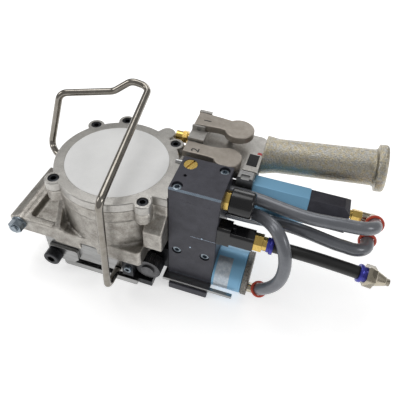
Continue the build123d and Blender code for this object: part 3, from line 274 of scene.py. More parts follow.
class Finishes(Enum):
    """Every finish on the tool."""

    # the edge values of the castings lighten their worn edges and paint shade into their hollows
    CASTING = Finish("tumbled_casting", (0.43, 0.41, 0.375), (0.27, 0.25, 0.225), 0.85, 0.34, 0.16,
                     mottle_size=0.008, grain_size=0.0013, grain_depth=0.0003, speckle=0.2, edge=0.5)
    COVER = Finish("tumbled_cover", (0.52, 0.505, 0.475), (0.41, 0.395, 0.37), 0.8, 0.34, 0.12,
                   mottle_size=0.012, grain_size=0.0011, grain_depth=0.00012, speckle=0.12)
    HANDLE = Finish("rough_cast_grip", (0.40, 0.40, 0.39), (0.46, 0.40, 0.27), 0.95, 0.34, 0.18,
                    mottle_size=0.003, grain_size=0.0012, grain_depth=0.0006, speckle=0.3, edge=0.3)
    LEVER = Finish("smooth_cast_lever", (0.40, 0.36, 0.315), (0.33, 0.295, 0.255), 0.65, 0.4, 0.1,
                   mottle_size=0.008, grain_size=0.001, grain_depth=0.00006, speckle=0.08)
    WHITE = Finish("white_cover_disc", (0.84, 0.84, 0.83), (0.80, 0.80, 0.79), 0.0, 0.5, 0.06,
                   mottle_size=0.02, grain_size=0.0012, grain_depth=0.00001, speckle=0.015)
    BLACK_OXIDE = Finish("black_oxide_steel", (0.018, 0.019, 0.022), (0.035, 0.037, 0.042), 0.7, 0.32, 0.1,
                         mottle_size=0.004, speckle=0.15)
    GROUND = Finish("ground_steel", (0.43, 0.43, 0.425), (0.33, 0.33, 0.325), 1.0, 0.3, 0.16,
                    mottle_size=0.006, grain_size=0.0008, grain_depth=0.00002, speckle=0.12,
                    stretch=(0.15, 1.0, 1.0))
    DARK_STEEL = Finish("hardened_steel", (0.16, 0.16, 0.165), (0.10, 0.10, 0.105), 1.0, 0.38, 0.14,
                        mottle_size=0.006, speckle=0.12)
    ANODISED = Finish("slate_anodised", (0.05, 0.05, 0.064), (0.035, 0.035, 0.046), 0.3, 0.4, 0.08,
                      mottle_size=0.012, grain_size=0.0009, grain_depth=0.00002, speckle=0.14)
    # painted highlight: bright silver-blue metal for the cap's front chamfer and for the lines on the block's
    # front; the two small plugs are also this metal
    HIGHLIGHT_AND_PLUG_METAL = Finish("painted_highlight_and_plug_metal", (0.42, 0.52, 0.62), (0.36, 0.44, 0.54), 1.0, 0.26, 0.1,
                       mottle_size=0.006, speckle=0.05)
    BLUE = Finish("blue_enamel", (0.01, 0.11, 0.27), (0.008, 0.09, 0.23), 0.35, 0.5, 0.08,
                  mottle_size=0.015, grain_size=0.0025, grain_depth=0.00003, speckle=0.05)
    SINTERED = Finish("sintered_silencer", (0.30, 0.285, 0.26), (0.16, 0.155, 0.145), 0.9, 0.55, 0.1,
                      mottle_size=0.002, grain_size=0.0008, grain_depth=0.0002, speckle=0.3)
    BLACK = Finish("black_moulding", (0.005, 0.005, 0.006), (0.009, 0.009, 0.01), 0.0, 0.2, 0.06,
                   mottle_size=0.01, grain_size=0.0012, grain_depth=0.00001, speckle=0.1)
    BRASS = Finish("turned_brass", (0.72, 0.52, 0.16), (0.62, 0.42, 0.12), 1.0, 0.24, 0.1,
                   mottle_size=0.005, speckle=0.05, stretch=(6.0, 1.0, 1.0))
    BRONZE = Finish("bearing_bronze", (0.50, 0.32, 0.14), (0.42, 0.25, 0.1), 1.0, 0.36, 0.1)
    VIOLET = Finish("violet_anodised_collar", (0.05, 0.055, 0.42), (0.04, 0.04, 0.34), 0.5, 0.3, 0.08,
                    mottle_size=0.006, coat=0.3)
    RED = Finish("red_push_ring", (0.60, 0.075, 0.035), (0.52, 0.055, 0.028), 0.1, 0.34, 0.08,
                 mottle_size=0.006, coat=0.3)
    HOSE = Finish("grey_air_hose", (0.17, 0.178, 0.195), (0.145, 0.152, 0.17), 0.3, 0.32, 0.08,
                  mottle_size=0.015, grain_size=0.0015, grain_depth=0.00002, speckle=0.06, coat=0.25)
    TUBE = Finish("black_air_tube", (0.006, 0.006, 0.006), (0.01, 0.01, 0.01), 0.0, 0.36, 0.08,
                  mottle_size=0.02, grain_size=0.0015, grain_depth=0.00002, speckle=0.08)
    NICKEL = Finish("nickel_plate", (0.52, 0.47, 0.38), (0.40, 0.36, 0.28), 1.0, 0.2, 0.1,
                    mottle_size=0.005, speckle=0.05)
    STAINLESS = Finish("polished_stainless", (0.30, 0.28, 0.25), (0.24, 0.22, 0.19), 1.0, 0.16, 0.1,
                       mottle_size=0.008, grain_size=0.0008, grain_depth=0.00001, speckle=0.06)
    BLUED = Finish("zinc_blued_screws", (0.30, 0.35, 0.39), (0.17, 0.20, 0.23), 1.0, 0.3, 0.14,
                   mottle_size=0.003, speckle=0.12)
    BUTTON = Finish("red_button", (0.55, 0.02, 0.02), (0.45, 0.015, 0.015), 0.0, 0.3, 0.05, coat=0.4)
    RUBBER = Finish("seal_rubber", (0.02, 0.02, 0.02), (0.03, 0.03, 0.03), 0.0, 0.6, 0.1)
    PAINT = Finish("black_figure_paint", (0.01, 0.01, 0.01), (0.016, 0.016, 0.016), 0.0, 0.5, 0.1)
    PLATE = Finish("bare_data_plate", (0.55, 0.60, 0.64), (0.40, 0.46, 0.52), 0.7, 0.35, 0.1,
                   mottle_size=0.003, grain_size=0.0008, speckle=0.12)


# ---------------------------------------------------------------------------------------------------
# meshes
# ---------------------------------------------------------------------------------------------------

class Skin(Enum):
    """How the CAD shape of a piece is worked up: cut on a machine, or cast and tumbled."""

    MACHINED = "machined"
    CAST = "cast"


@dataclass(frozen=True)
class Piece:
    """One CAD node that gets a worked-up skin of its own.

    Size is the edge's width on a machined piece, and the mesh's cell on a cast one, in metres. Rounds is how
    often a cast piece is smoothed.
    """

    node: str
    finish: Finishes
    skin: Skin = Skin.MACHINED
    size: float = 0.35 * MM
    rounds: int = 4

    def make(self) -> bpy.types.Object:
        """Build the piece, dress it and let it stand for its node.

        Returns:
            The new object.
        """
        if self.skin is Skin.CAST:
            made = cast_skin(self.node, self.size, self.rounds)
        else:
            made = machined_skin(self.node, self.size)
        return dress(made, self.finish, self.node)


def body_of(node: str) -> str:
    """Name the body that a CAD node belongs to."""
    return next(body for body, nodes in frame["record"]["behaviour"]["bodies"].items() if node in nodes)


def dress(made: bpy.types.Object, finish: Finishes, node: str, replaces: bool = True) -> bpy.types.Object:
    """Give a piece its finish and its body.

    Args:
        made: The finished piece.
        finish: What covers it.
        node: The CAD node that it stands for, or that carries it.
        replaces: Whether it stands for that node.

    Returns:
        The same object.
    """
    made.data.materials.clear()
    made.data.materials.append(finish.value.material())
    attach(made, body_of(node))
    if replaces:
        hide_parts(node)
    log.info("%s stands on %s", made.name, body_of(node))
    return made


def link(name: str, mesh: bpy.types.Mesh) -> bpy.types.Object:
    """Put a mesh into the scene as an object at the origin."""
    made = bpy.data.objects.new(name, mesh)
    bpy.context.scene.collection.objects.link(made)
    return made


def merged_mesh(node: str) -> bmesh.types.BMesh:
    """Copy a CAD node's triangles and join them where they meet.

    Args:
        node: The CAD node's name.

    Returns:
        The merged copy.
    """
    shape = bmesh.new()
    shape.from_mesh(frame["nodes"][node].data)
    bmesh.ops.remove_doubles(shape, verts=shape.verts, dist=MERGE_DISTANCE)
    return shape


def to_mesh(shape: bmesh.types.BMesh, name: str) -> bpy.types.Mesh:
    """Write a bmesh into a new mesh and free it."""
    mesh = bpy.data.meshes.new(name)
    shape.to_mesh(mesh)
    shape.free()
    return mesh


def flatten(made: bpy.types.Object) -> bpy.types.Object:
    """Turn an object's modifiers into plain mesh.

    Args:
        made: The object.

    Returns:
        The same object with its modifiers gone.
    """
    ready = made.evaluated_get(bpy.context.evaluated_depsgraph_get())
    mesh = bpy.data.meshes.new_from_object(ready)
    made.modifiers.clear()
    made.data = mesh
    return made


def settle(made: bpy.types.Object, sharp: float = SHARP_ANGLE) -> bpy.types.Object:
    """Turn an object's modifiers into plain mesh, shaded smooth except at its sharp edges.

    Args:
        made: The object.
        sharp: The angle past which an edge stays sharp.

    Returns:
        The same object with its modifiers gone.
    """
    flatten(made)
    made.data.shade_smooth()
    made.data.set_sharp_from_angle(angle=sharp)
    return made


def machined_skin(node: str, edge: float) -> bpy.types.Object:
    """Copy a CAD node as one joined surface, with its sharp edges broken by a narrow chamfer.

    Args:
        node: The CAD node's name.
        edge: The width of the broken edge, or 0 for none.

    Returns:
        The new object.
    """
    shape = merged_mesh(node)
    if edge > 0:
        bmesh.ops.dissolve_limit(shape, angle_limit=FLAT_ANGLE, verts=shape.verts, edges=shape.edges)
    made = settle(link(f"{node}_skin", to_mesh(shape, f"{node}_skin")))
    if edge > 0:
        made.data.set_sharp_from_angle(angle=math.pi)
        broken = made.modifiers.new("broken_edges", "BEVEL")
        broken.width = edge
        broken.segments = 2
        broken.limit_method = "ANGLE"
        broken.angle_limit = SHARP_ANGLE
        broken.use_clamp_overlap = True
        flat = made.modifiers.new("flat_faces_stay_flat", "WEIGHTED_NORMAL")
        flat.weight = 90
        flatten(made)
    return made


def cast_skin(node: str, cell: float, rounds: int) -> bpy.types.Object:
    """Copy a CAD node as a casting: even cells all over, with every edge and corner rounded off.

    Args:
        node: The CAD node's name.
        cell: The size of the mesh's cells.
        rounds: How often the surface is smoothed.

    Returns:
        The new object.
    """
    made = link(f"{node}_casting", to_mesh(merged_mesh(node), f"{node}_casting"))
    cells = made.modifiers.new("even_cells", "REMESH")
    cells.mode = "VOXEL"
    cells.voxel_size = cell
    cells.adaptivity = 0.0
    rounding = made.modifiers.new("rounded", "SMOOTH")
    rounding.factor = 0.5
    rounding.iterations = rounds
    return settle(made, math.pi)


def islands(node: str) -> list[tuple[Vector, Vector]]:
    """Find the separate solids of a CAD node.

    Args:
        node: The CAD node's name.

    Returns:
        The lowest and highest corner of each, in order of their places.
    """
    shape = merged_mesh(node)
    left, boxes = set(shape.verts), []
    while left:
        group, front = set(), [left.pop()]
        while front:
            vertex = front.pop()
            group.add(vertex)
            for edge in vertex.link_edges:
                other = edge.other_vert(vertex)
                if other in left:
                    left.discard(other)
                    front.append(other)
        spots = [v.co for v in group]
        low = Vector([min(s[i] for s in spots) for i in range(3)])
        high = Vector([max(s[i] for s in spots) for i in range(3)])
        boxes.append((low, high))
    shape.free()
    return sorted(boxes, key=lambda pair: tuple(pair[0]))


def facing(direction: Vector, start: Vector) -> Matrix:
    """The turn and shift that take a shape built up the Z axis onto a line.

    Args:
        direction: Where the shape's Z axis points.
        start: Where its origin goes.

    Returns:
        The matrix.
    """
    turn = UP.rotation_difference(direction.normalized()).to_matrix().to_4x4()
    return Matrix.Translation(start) @ turn


def lathe(name: str, profile: list[tuple[float, float]], place: Matrix, steps: int = 64) -> bpy.types.Object:
    """Turn a closed profile round the Z axis.

    Args:
        name: The object's name.
        profile: The radius and height of each corner, in order round the section.
        place: Where the turned shape goes.
        steps: How many faces there are round it.

    Returns:
        The new object.
    """
    shape = bmesh.new()
    rings = []
    for step in range(steps):
        angle = math.tau * step / steps
        rings.append([shape.verts.new((radius * math.cos(angle), radius * math.sin(angle), height))
                      for radius, height in profile])
    for here, after in zip(rings, rings[1:] + rings[:1]):
        for index in range(len(profile)):
            other = (index + 1) % len(profile)
            shape.faces.new((here[index], after[index], after[other], here[other]))
    bmesh.ops.remove_doubles(shape, verts=shape.verts, dist=MERGE_DISTANCE)
    bmesh.ops.recalc_face_normals(shape, faces=shape.faces)
    bmesh.ops.transform(shape, matrix=place, verts=shape.verts)
    return settle(link(name, to_mesh(shape, name)))


# ---------------------------------------------------------------------------------------------------
# geometry nodes
# ---------------------------------------------------------------------------------------------------

class Repeat:
    """A geometry node tree that sets one item on many spots, and a way to run it."""

    def __init__(self) -> None:
        """Build the tree with its named inputs."""
        self.tree = bpy.data.node_groups.new("items_on_spots", "GeometryNodeTree")
        face = self.tree.interface
        for label, kind in (("Geometry", "NodeSocketGeometry"), ("Item", "NodeSocketObject"),
                            ("Turn", "NodeSocketVector"), ("Spin", "NodeSocketFloat"),
                            ("Seed", "NodeSocketInt"), ("Material", "NodeSocketMaterial")):
            face.new_socket(label, in_out="INPUT", socket_type=kind)
        face.new_socket("Geometry", in_out="OUTPUT", socket_type="NodeSocketGeometry")
        nodes, links = self.tree.nodes, self.tree.links
        given = nodes.new("NodeGroupInput")
        item = nodes.new("GeometryNodeObjectInfo")
        links.new(given.outputs["Item"], item.inputs["Object"])
        chance = nodes.new("FunctionNodeRandomValue")
        chance.data_type = "FLOAT"
        links.new(given.outputs["Spin"], chance.inputs[3])
        links.new(given.outputs["Seed"], chance.inputs["Seed"])
        spin = nodes.new("ShaderNodeCombineXYZ")
        links.new(chance.outputs[1], spin.inputs["Z"])
        turn = nodes.new("FunctionNodeEulerToRotation")
        links.new(given.outputs["Turn"], turn.inputs[0])
        own = nodes.new("FunctionNodeEulerToRotation")
        links.new(spin.outputs[0], own.inputs[0])
        both = nodes.new("FunctionNodeRotateRotation")
        both.rotation_space = "LOCAL"
        links.new(turn.outputs[0], both.inputs["Rotation"])
        links.new(own.outputs[0], both.inputs["Rotate By"])
        scatter = nodes.new("GeometryNodeInstanceOnPoints")
        links.new(given.outputs["Geometry"], scatter.inputs["Points"])
        links.new(item.outputs["Geometry"], scatter.inputs["Instance"])
        links.new(both.outputs[0], scatter.inputs["Rotation"])
        real = nodes.new("GeometryNodeRealizeInstances")
        links.new(scatter.outputs["Instances"], real.inputs["Geometry"])
        cover = nodes.new("GeometryNodeSetMaterial")
        links.new(real.outputs["Geometry"], cover.inputs["Geometry"])
        links.new(given.outputs["Material"], cover.inputs["Material"])
        result = nodes.new("NodeGroupOutput")
        links.new(cover.outputs["Geometry"], result.inputs["Geometry"])

    def run(self, name: str, item: bpy.types.Object, spots: Iterable[Vector], turn: Vector, spin: float,
            finish: Finishes) -> bpy.types.Object:
        """Set the item on every spot and turn the result into plain mesh.

        Args:
            name: The new object's name.
            item: What is repeated; it is removed afterwards.
            spots: Where each one goes.
            turn: How the item is turned, as Euler angles.
            spin: The most that each is spun about its own axis.
            finish: What covers them.

        Returns:
            The new object.
        """
        points = bpy.data.meshes.new(name)
        points.from_pydata([tuple(s) for s in spots], [], [])
        made = link(name, points)
        runner = made.modifiers.new("items", "NODES")
        runner.node_group = self.tree
        values = {"Item": item, "Turn": tuple(turn), "Spin": spin, "Seed": SEED,
                  "Material": finish.value.material()}
        for socket in self.tree.interface.items_tree:
            if socket.in_out == "INPUT" and socket.name in values:
                runner[socket.identifier] = values[socket.name]
        settle(made)
        bpy.data.objects.remove(item)
        return made


def joined(name: str, parts: list[bpy.types.Object]) -> bpy.types.Object:
    """Join several objects at the origin into one.

    Args:
        name: The new object's name.
        parts: The objects, which are removed.

    Returns:
        The joined object.
    """
    shape = bmesh.new()
    for part in parts:
        shape.from_mesh(part.data)
        bpy.data.objects.remove(part)
    made = link(name, to_mesh(shape, name))
    made.data.shade_smooth()
    made.data.set_sharp_from_angle(angle=SHARP_ANGLE)
    return made


@dataclass
class SocketScrews:
    """Socket-head cap screws: knurled heads with a hexagon socket, one on each solid of a CAD node."""

    node: str
    finish: Finishes = Finishes.BLACK_OXIDE
    head_height: float = 4.0 * MM
    shank_share: float = 0.58
    socket_share: float = 0.52
    rim: float = 0.35 * MM
    knurls: int = 36
    knurl_depth: float = 0.12 * MM
    repeat: Repeat = field(default_factory=Repeat)

    def screw(self, radius: float, length: float) -> bpy.types.Object:
        """Build one screw up the Z axis, with the head's top at the origin.

        Args:
            radius: The head's radius.
            length: The whole screw's length.

        Returns:
            The screw.
        """
        socket, shank = radius * self.socket_share, radius * self.shank_share
        rim, seat = self.rim, -self.head_height
        steps = 2 * self.knurls
        shape = bmesh.new()
        rings = []
        for step in range(steps):
            angle = math.tau * step / steps
            hexed = socket / math.cos((angle % (math.pi / 3)) - math.pi / 6)
            side = radius - self.knurl_depth * (step % 2)
            section = [(0.0, seat * 0.6), (hexed, seat * 0.6), (hexed, 0.0), (radius - 2 * rim, 0.0),
                       (radius - rim / 2, -rim / 2), (side, -rim * 1.6), (side, seat), (shank, seat),
                       (shank, -length + rim), (shank - rim, -length), (0.0, -length)]
            rings.append([shape.verts.new((r * math.cos(angle), r * math.sin(angle), z)) for r, z in section])
        for here, after in zip(rings, rings[1:] + rings[:1]):
            for index in range(len(here) - 1):
                shape.faces.new((here[index], here[index + 1], after[index + 1], after[index]))
        bmesh.ops.remove_doubles(shape, verts=shape.verts, dist=MERGE_DISTANCE)
        bmesh.ops.recalc_face_normals(shape, faces=shape.faces)
        return link("one_screw", to_mesh(shape, "one_screw"))

    def make(self) -> bpy.types.Object:
        """Set a screw on each solid of the node.

        Returns:
            The screws as one object.
        """
        groups: dict[tuple, list[Vector]] = {}
        for low, high in islands(self.node):
            size = high - low
            upright = size.z > size.y
            middle = (low + high) / 2
            top = Vector((middle.x, middle.y, high.z)) if upright else Vector((middle.x, low.y, middle.z))
            key = (upright, round(size.x / 2, 5), round(size.z if upright else size.y, 5))
            groups.setdefault(key, []).append(top)
        parts = []
        for (upright, radius, length), spots in groups.items():
            turn = Vector((0.0 if upright else math.pi / 2, 0.0, 0.0))
            parts.append(self.repeat.run("screws", self.screw(radius, length), spots, turn, math.tau,
                                         self.finish))
        return dress(joined(f"{self.node}_heads", parts), self.finish, self.node)


# ---------------------------------------------------------------------------------------------------
# the tool's sub-assemblies
# ---------------------------------------------------------------------------------------------------

@dataclass
class SealingHead:
    """The cylinder casting, its cover and everything that seals inside it."""

    pieces: tuple[Piece, ...] = (
        Piece("cylinder_body", Finishes.CASTING, Skin.CAST, 1.25 * MM, 5),
        Piece("cylinder_cover", Finishes.COVER, size=0.7 * MM),
        Piece("cover_disc", Finishes.WHITE, size=0.25 * MM),
        Piece("bail", Finishes.STAINLESS, size=0.0),
        Piece("cross_bolt", Finishes.BLUED, size=0.4 * MM),
        Piece("dowel_pins", Finishes.GROUND, size=0.3 * MM),
    )
    hidden: dict[str, Finishes] = field(default_factory=lambda: {
        "sealing_piston": Finishes.COVER, "piston_seal": Finishes.RUBBER, "piston_rod": Finishes.GROUND,
        "rod_bushing": Finishes.BRONZE, "return_spring": Finishes.DARK_STEEL,
        "seal_punch": Finishes.DARK_STEEL, "strap_cutter": Finishes.DARK_STEEL,
    })

    def build(self) -> None:
        """Make the head's pieces."""
        build_pieces(self.pieces)
        paint_nodes(self.hidden)
        SocketScrews("cover_screws", head_height=5.5 * MM).make()


@dataclass
class StrapJaw:
    """The base, the jaw housing, the gripper and the wheel housing around the strap."""

    pieces: tuple[Piece, ...] = (
        Piece("base_plate", Finishes.GROUND, size=0.4 * MM),
        Piece("seal_die", Finishes.DARK_STEEL, size=0.2 * MM),
        Piece("wheel_counter_plate", Finishes.BLACK_OXIDE, size=0.2 * MM),
        Piece("jaw_housing", Finishes.GROUND, size=0.5 * MM),
        Piece("gripper_pin", Finishes.BLACK_OXIDE, size=0.4 * MM),
        Piece("gripper_lever", Finishes.GROUND, size=0.4 * MM),
        Piece("wheel_housing", Finishes.BLACK_OXIDE, size=0.5 * MM),
        Piece("base_rail", Finishes.GROUND, size=0.3 * MM),
        Piece("block_foot", Finishes.ANODISED, size=0.5 * MM),
    )

    def build(self) -> None:
        """Make the jaw's pieces."""
        build_pieces(self.pieces)


@dataclass
class TensionDrive:
    """The feed wheel, its bevel drive and the lower air motor with its silencer ring."""

    pieces: tuple[Piece, ...] = (
        Piece("feed_wheel", Finishes.DARK_STEEL, size=0.15 * MM),
        Piece("gear_tube", Finishes.GROUND, size=0.3 * MM),
        Piece("lower_motor_casing", Finishes.BLUE, size=0.4 * MM),
        Piece("exhaust_ring", Finishes.SINTERED, size=0.4 * MM),
    )
    hidden: dict[str, Finishes] = field(default_factory=lambda: {
        # the wheel shaft is a hardened-steel part, but its dark finish is also painted shade, since its end
        # sits in the shaded gap beside the wheel housing
        "wheel_shaft": Finishes.DARK_STEEL, "bevel_gear": Finishes.DARK_STEEL,
        "bevel_pinion": Finishes.DARK_STEEL, "lower_motor_rotor": Finishes.GROUND,
        "ball_bearings": Finishes.GROUND,
    })
    plate_from: float = math.radians(100.0)
    plate_to: float = math.radians(205.0)
    plate_inset: float = 2.5 * MM
    plate_length: float = 15.0 * MM
    plate_steps: int = 24
    plate_thickness: float = 0.25 * MM
    cells_round: int = 54
    cell_rows: int = 3
    cell: float = 1.1 * MM

    def build(self) -> None:
        """Make the drive's pieces."""
        build_pieces(self.pieces)
        paint_nodes(self.hidden)
        self.data_plate()
        self.silencer_cells()

    def axis(self, node: str) -> tuple[Vector, Vector, float]:
        """Read a round CAD node that lies along X.

        Args:
            node: The CAD node's name.

        Returns:
            The middle of its left end, the middle of its right end and its radius.
        """
        low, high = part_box(node)
        middle = (low + high) / 2
        left, right = Vector((low.x, middle.y, middle.z)), Vector((high.x, middle.y, middle.z))
        return left, right, (high.z - low.z) / 2

    def data_plate(self) -> None:
        """Lay a bare curved plate on the casing beside the valve block."""
        left, _, radius = self.axis("lower_motor_casing")
        shape = bmesh.new()
        rows = []
        for step in range(self.plate_steps + 1):
            angle = self.plate_from + (self.plate_to - self.plate_from) * step / self.plate_steps
            rim = Vector((0.0, math.cos(angle), math.sin(angle)))
            row = []
            for reach in (radius - self.plate_thickness, radius + self.plate_thickness):
                for along in (self.plate_inset, self.plate_inset + self.plate_length):
                    row.append(shape.verts.new(left + Vector((along, 0.0, 0.0)) + rim * reach))
            rows.append(row)
        for here, after in zip(rows, rows[1:]):
            for a, b in ((0, 1), (1, 3), (3, 2), (2, 0)):
                shape.faces.new((here[a], here[b], after[b], after[a]))
        for row in (rows[0], rows[-1]):
            shape.faces.new((row[0], row[1], row[3], row[2]))
        bmesh.ops.recalc_face_normals(shape, faces=shape.faces)
        plate = settle(link("data_plate", to_mesh(shape, "data_plate")))
        dress(plate, Finishes.PLATE, "lower_motor_casing", replaces=False)

    def silencer_cells(self) -> None:
        """Set rows of small diamonds round the silencer ring."""
        left, right, radius = self.axis("exhaust_ring")
        shape = bmesh.new()
        bmesh.ops.create_cone(shape, cap_ends=True, segments=4, radius1=self.cell, radius2=self.cell * 0.35,
                              depth=self.cell * 0.5)
        item = to_mesh(shape, "one_cell")
        parts = []
        for step in range(self.cells_round):
            angle = math.tau * step / self.cells_round
            rim = Vector((0.0, math.cos(angle), math.sin(angle)))
            for row in range(self.cell_rows):
                share = (row + 0.5) / self.cell_rows
                spot = left.lerp(right, share) + rim * radius
                copy = item.copy()
                copy.transform(facing(rim, spot))
                parts.append(link("cell", copy))
        bpy.data.meshes.remove(item)
        dress(joined("silencer_cells", parts), Finishes.SINTERED, "exhaust_ring", replaces=False)


@dataclass
class ValveBlock:
    """The tall anodised block, its cap, screws and throttle."""

    pieces: tuple[Piece, ...] = (
        Piece("valve_block", Finishes.ANODISED, size=0.5 * MM),
        Piece("block_cap", Finishes.ANODISED, size=0.25 * MM),
        Piece("throttle_screw", Finishes.BRASS, size=0.3 * MM),
        Piece("shaft_housing", Finishes.ANODISED, size=0.4 * MM),
    )
    seam_height: float = 82.7 * MM
    seam_from: float = 86.5 * MM
    seam_to: float = 111.4 * MM
    seam_width: float = 0.3 * MM
    seam_depth: float = 0.12 * MM
    foot_inset: float = 1.2 * MM
    foot_height: float = 3.4 * MM
    plug_spots: tuple[tuple[float, float], ...] = ((97.9 * MM, 83.6 * MM), (87.0 * MM, 66.1 * MM))
    plug_radius: float = 0.9 * MM

    def build(self) -> None:
        """Make the block's pieces."""
        build_pieces(self.pieces)
        self.paint_chamfer_highlight()
        self.seams()
        SocketScrews("cap_screws", Finishes.BLUED).make()

    def paint_chamfer_highlight(self) -> None:
        """Paint a highlight on the cap's milled front chamfer: its faces that look up and forward get bright
        silver-blue metal, lighter than the anodised rest.
        """
        cap = bpy.data.objects["block_cap_skin"]
        cap.data.materials.append(Finishes.HIGHLIGHT_AND_PLUG_METAL.value.material())
        low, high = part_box("block_cap")
        for face in cap.data.polygons:
            # front chamfer faces that look up and forward take the painted highlight
            if face.normal.y < -0.35 and face.normal.z > 0.35 and face.center.y < low.y + 2.5 * MM:
                face.material_index = 1

    def seams(self) -> None:
        """Lay fine bright lines along the block's front seam and its foot, which are painted highlights on
        those edges, and the two small plugs on the block's front.
        """
        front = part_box("valve_block")[0].y
        low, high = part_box("valve_block")
        foot = low.z + self.foot_height
        # both bars are painted highlights: thin bright silver-blue lines along the seam and just above the
        # foot
        bars = [((self.seam_from, self.seam_height), (self.seam_to, self.seam_height + self.seam_width)),
                ((low.x + self.foot_inset, foot), (high.x - self.foot_inset, foot + self.seam_width))]
        parts = []
        for (x0, z0), (x1, z1) in bars:
            shape = bmesh.new()
            bmesh.ops.create_cube(shape, size=1.0)
            size = Matrix.Diagonal((x1 - x0, self.seam_depth, z1 - z0, 1.0))
            spot = Matrix.Translation(((x0 + x1) / 2, front, (z0 + z1) / 2))
            bmesh.ops.transform(shape, matrix=spot @ size, verts=shape.verts)
            parts.append(link("seam", to_mesh(shape, "seam")))
        for x, z in self.plug_spots:
            profile = [(0.0, 0.0), (self.plug_radius, 0.0), (self.plug_radius, 0.25 * MM), (0.0, 0.4 * MM)]
            parts.append(lathe("plug", profile, facing(Vector((0.0, -1.0, 0.0)), Vector((x, front, z))), 20))
        dress(joined("block_seams", parts), Finishes.HIGHLIGHT_AND_PLUG_METAL, "valve_block", replaces=False)


@dataclass
class LeverDeck:
    """The cast housing with the two numbered levers, the red button and the side grip."""

    pieces: tuple[Piece, ...] = (
        Piece("lever_housing", Finishes.COVER, size=0.8 * MM),
        Piece("handle_grip", Finishes.HANDLE, Skin.CAST, 1.1 * MM, 8),
        Piece("lever_1", Finishes.LEVER, size=0.4 * MM),
        Piece("lever_2", Finishes.LEVER, size=0.4 * MM),
        Piece("valve_stem_1", Finishes.GROUND, size=0.2 * MM),
        Piece("valve_stem_2", Finishes.GROUND, size=0.2 * MM),
        Piece("red_button", Finishes.BUTTON, size=0.15 * MM),
    )
    figures: tuple[tuple[str, str, float, float], ...] = (("1", "lever_1", 70.0 * MM, 67.0 * MM),
                                                          ("2", "lever_2", 69.5 * MM, 28.5 * MM))
    figure_size: float = 11.0 * MM
    figure_height: float = 0.12 * MM
    label_low: tuple[float, float] = (119.5 * MM, 31.5 * MM)
    label_high: tuple[float, float] = (129.5 * MM, 48.5 * MM)
    label_top: float = 130.0 * MM
    label_thickness: float = 0.5 * MM

    def build(self) -> None:
        """Make the deck's pieces."""
        build_pieces(self.pieces)
        for text, node, x, y in self.figures:
            self.figure(text, node, x, y)
        self.label()

    def figure(self, text: str, node: str, x: float, y: float) -> None:
        """Paint a plain number on a lever, to be read from the grip's end.

        Args:
            text: The number.
            node: The lever's CAD node.
            x: Its middle along the lever.
            y: Its middle across the lever.
        """
        curve = bpy.data.curves.new(f"figure_{text}", "FONT")
        curve.body = text
        curve.size = self.figure_size
        curve.extrude = self.figure_height / 2
        curve.offset = 0.15 * MM
        curve.align_x = "CENTER"
        curve.align_y = "CENTER"
        writer = bpy.data.objects.new(f"figure_{text}", curve)
        bpy.context.scene.collection.objects.link(writer)
        mesh = bpy.data.meshes.new_from_object(writer.evaluated_get(bpy.context.evaluated_depsgraph_get()))
        bpy.data.objects.remove(writer)
        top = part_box(node)[1].z
        mesh.transform(Matrix.Translation((x, y, top)) @ Matrix.Rotation(math.pi / 2, 4, "Z"))
        dress(link(f"figure_{text}_paint", mesh), Finishes.PAINT, node, replaces=False)

    def label(self) -> None:
        """Lay the bare black plate on the pad beside the grip's root."""
        shape = bmesh.new()
        bmesh.ops.create_cube(shape, size=1.0)
        (x0, y0), (x1, y1) = self.label_low, self.label_high
        size = Matrix.Diagonal((x1 - x0, y1 - y0, self.label_thickness, 1.0))
        spot = Matrix.Translation(((x0 + x1) / 2, (y0 + y1) / 2, self.label_top))
        bmesh.ops.transform(shape, matrix=spot @ size, verts=shape.verts)
        plate = link("deck_plate", to_mesh(shape, "deck_plate"))
        dress(plate, Finishes.BLACK, "lever_housing", replaces=False)


@dataclass
class UpperMotor:
    """The long air motor under the grip, with its clamp and elbows."""

    pieces: tuple[Piece, ...] = (
        Piece("motor_clamp", Finishes.BLACK, size=0.4 * MM),
        Piece("clamp_bracket", Finishes.GROUND, size=0.4 * MM),
        Piece("upper_motor_casing", Finishes.BLUE, size=0.5 * MM),
        Piece("upper_motor_end", Finishes.ANODISED, size=0.5 * MM),
        Piece("hose_elbows", Finishes.NICKEL, size=0.3 * MM),
        Piece("brass_fittings", Finishes.BRASS, size=0.35 * MM),
    )

    def build(self) -> None:
        """Make the motor's pieces."""
        build_pieces(self.pieces)
        paint_nodes({"upper_motor_rotor": Finishes.GROUND})


@dataclass(frozen=True)
class Route:
    """A hose: its points, its real length, what its far end goes into and its finish."""

    node: str
    finish: Finishes
    length: float
    points: tuple[Point, ...]
    far_end: str = "object"

    def lay(self, radius: float, with_pieces: tuple[bpy.types.Object, ...] = ()) -> bpy.types.Object:
        """Make the hose as one smooth round curve.

        Args:
            radius: The hose's radius.
            with_pieces: What sits on its free end; not used.

        Returns:
            The hose.
        """
        curve = bpy.data.curves.new(f"{self.node}_run", "CURVE")
        curve.dimensions = "3D"
        curve.bevel_depth = radius
        curve.bevel_resolution = 8
        curve.resolution_u = 10
        curve.use_fill_caps = True
        line = curve.splines.new("NURBS")
        line.points.add(len(self.points) - 1)
        for spot, point in zip(line.points, self.points):
            spot.co = (*[value * MM for value in point], 1.0)
        line.order_u = 3
        line.use_endpoint_u = True
        made = bpy.data.objects.new(f"{self.node}_run", curve)
        bpy.context.scene.collection.objects.link(made)
        dress(made, self.finish, self.node)
        return made


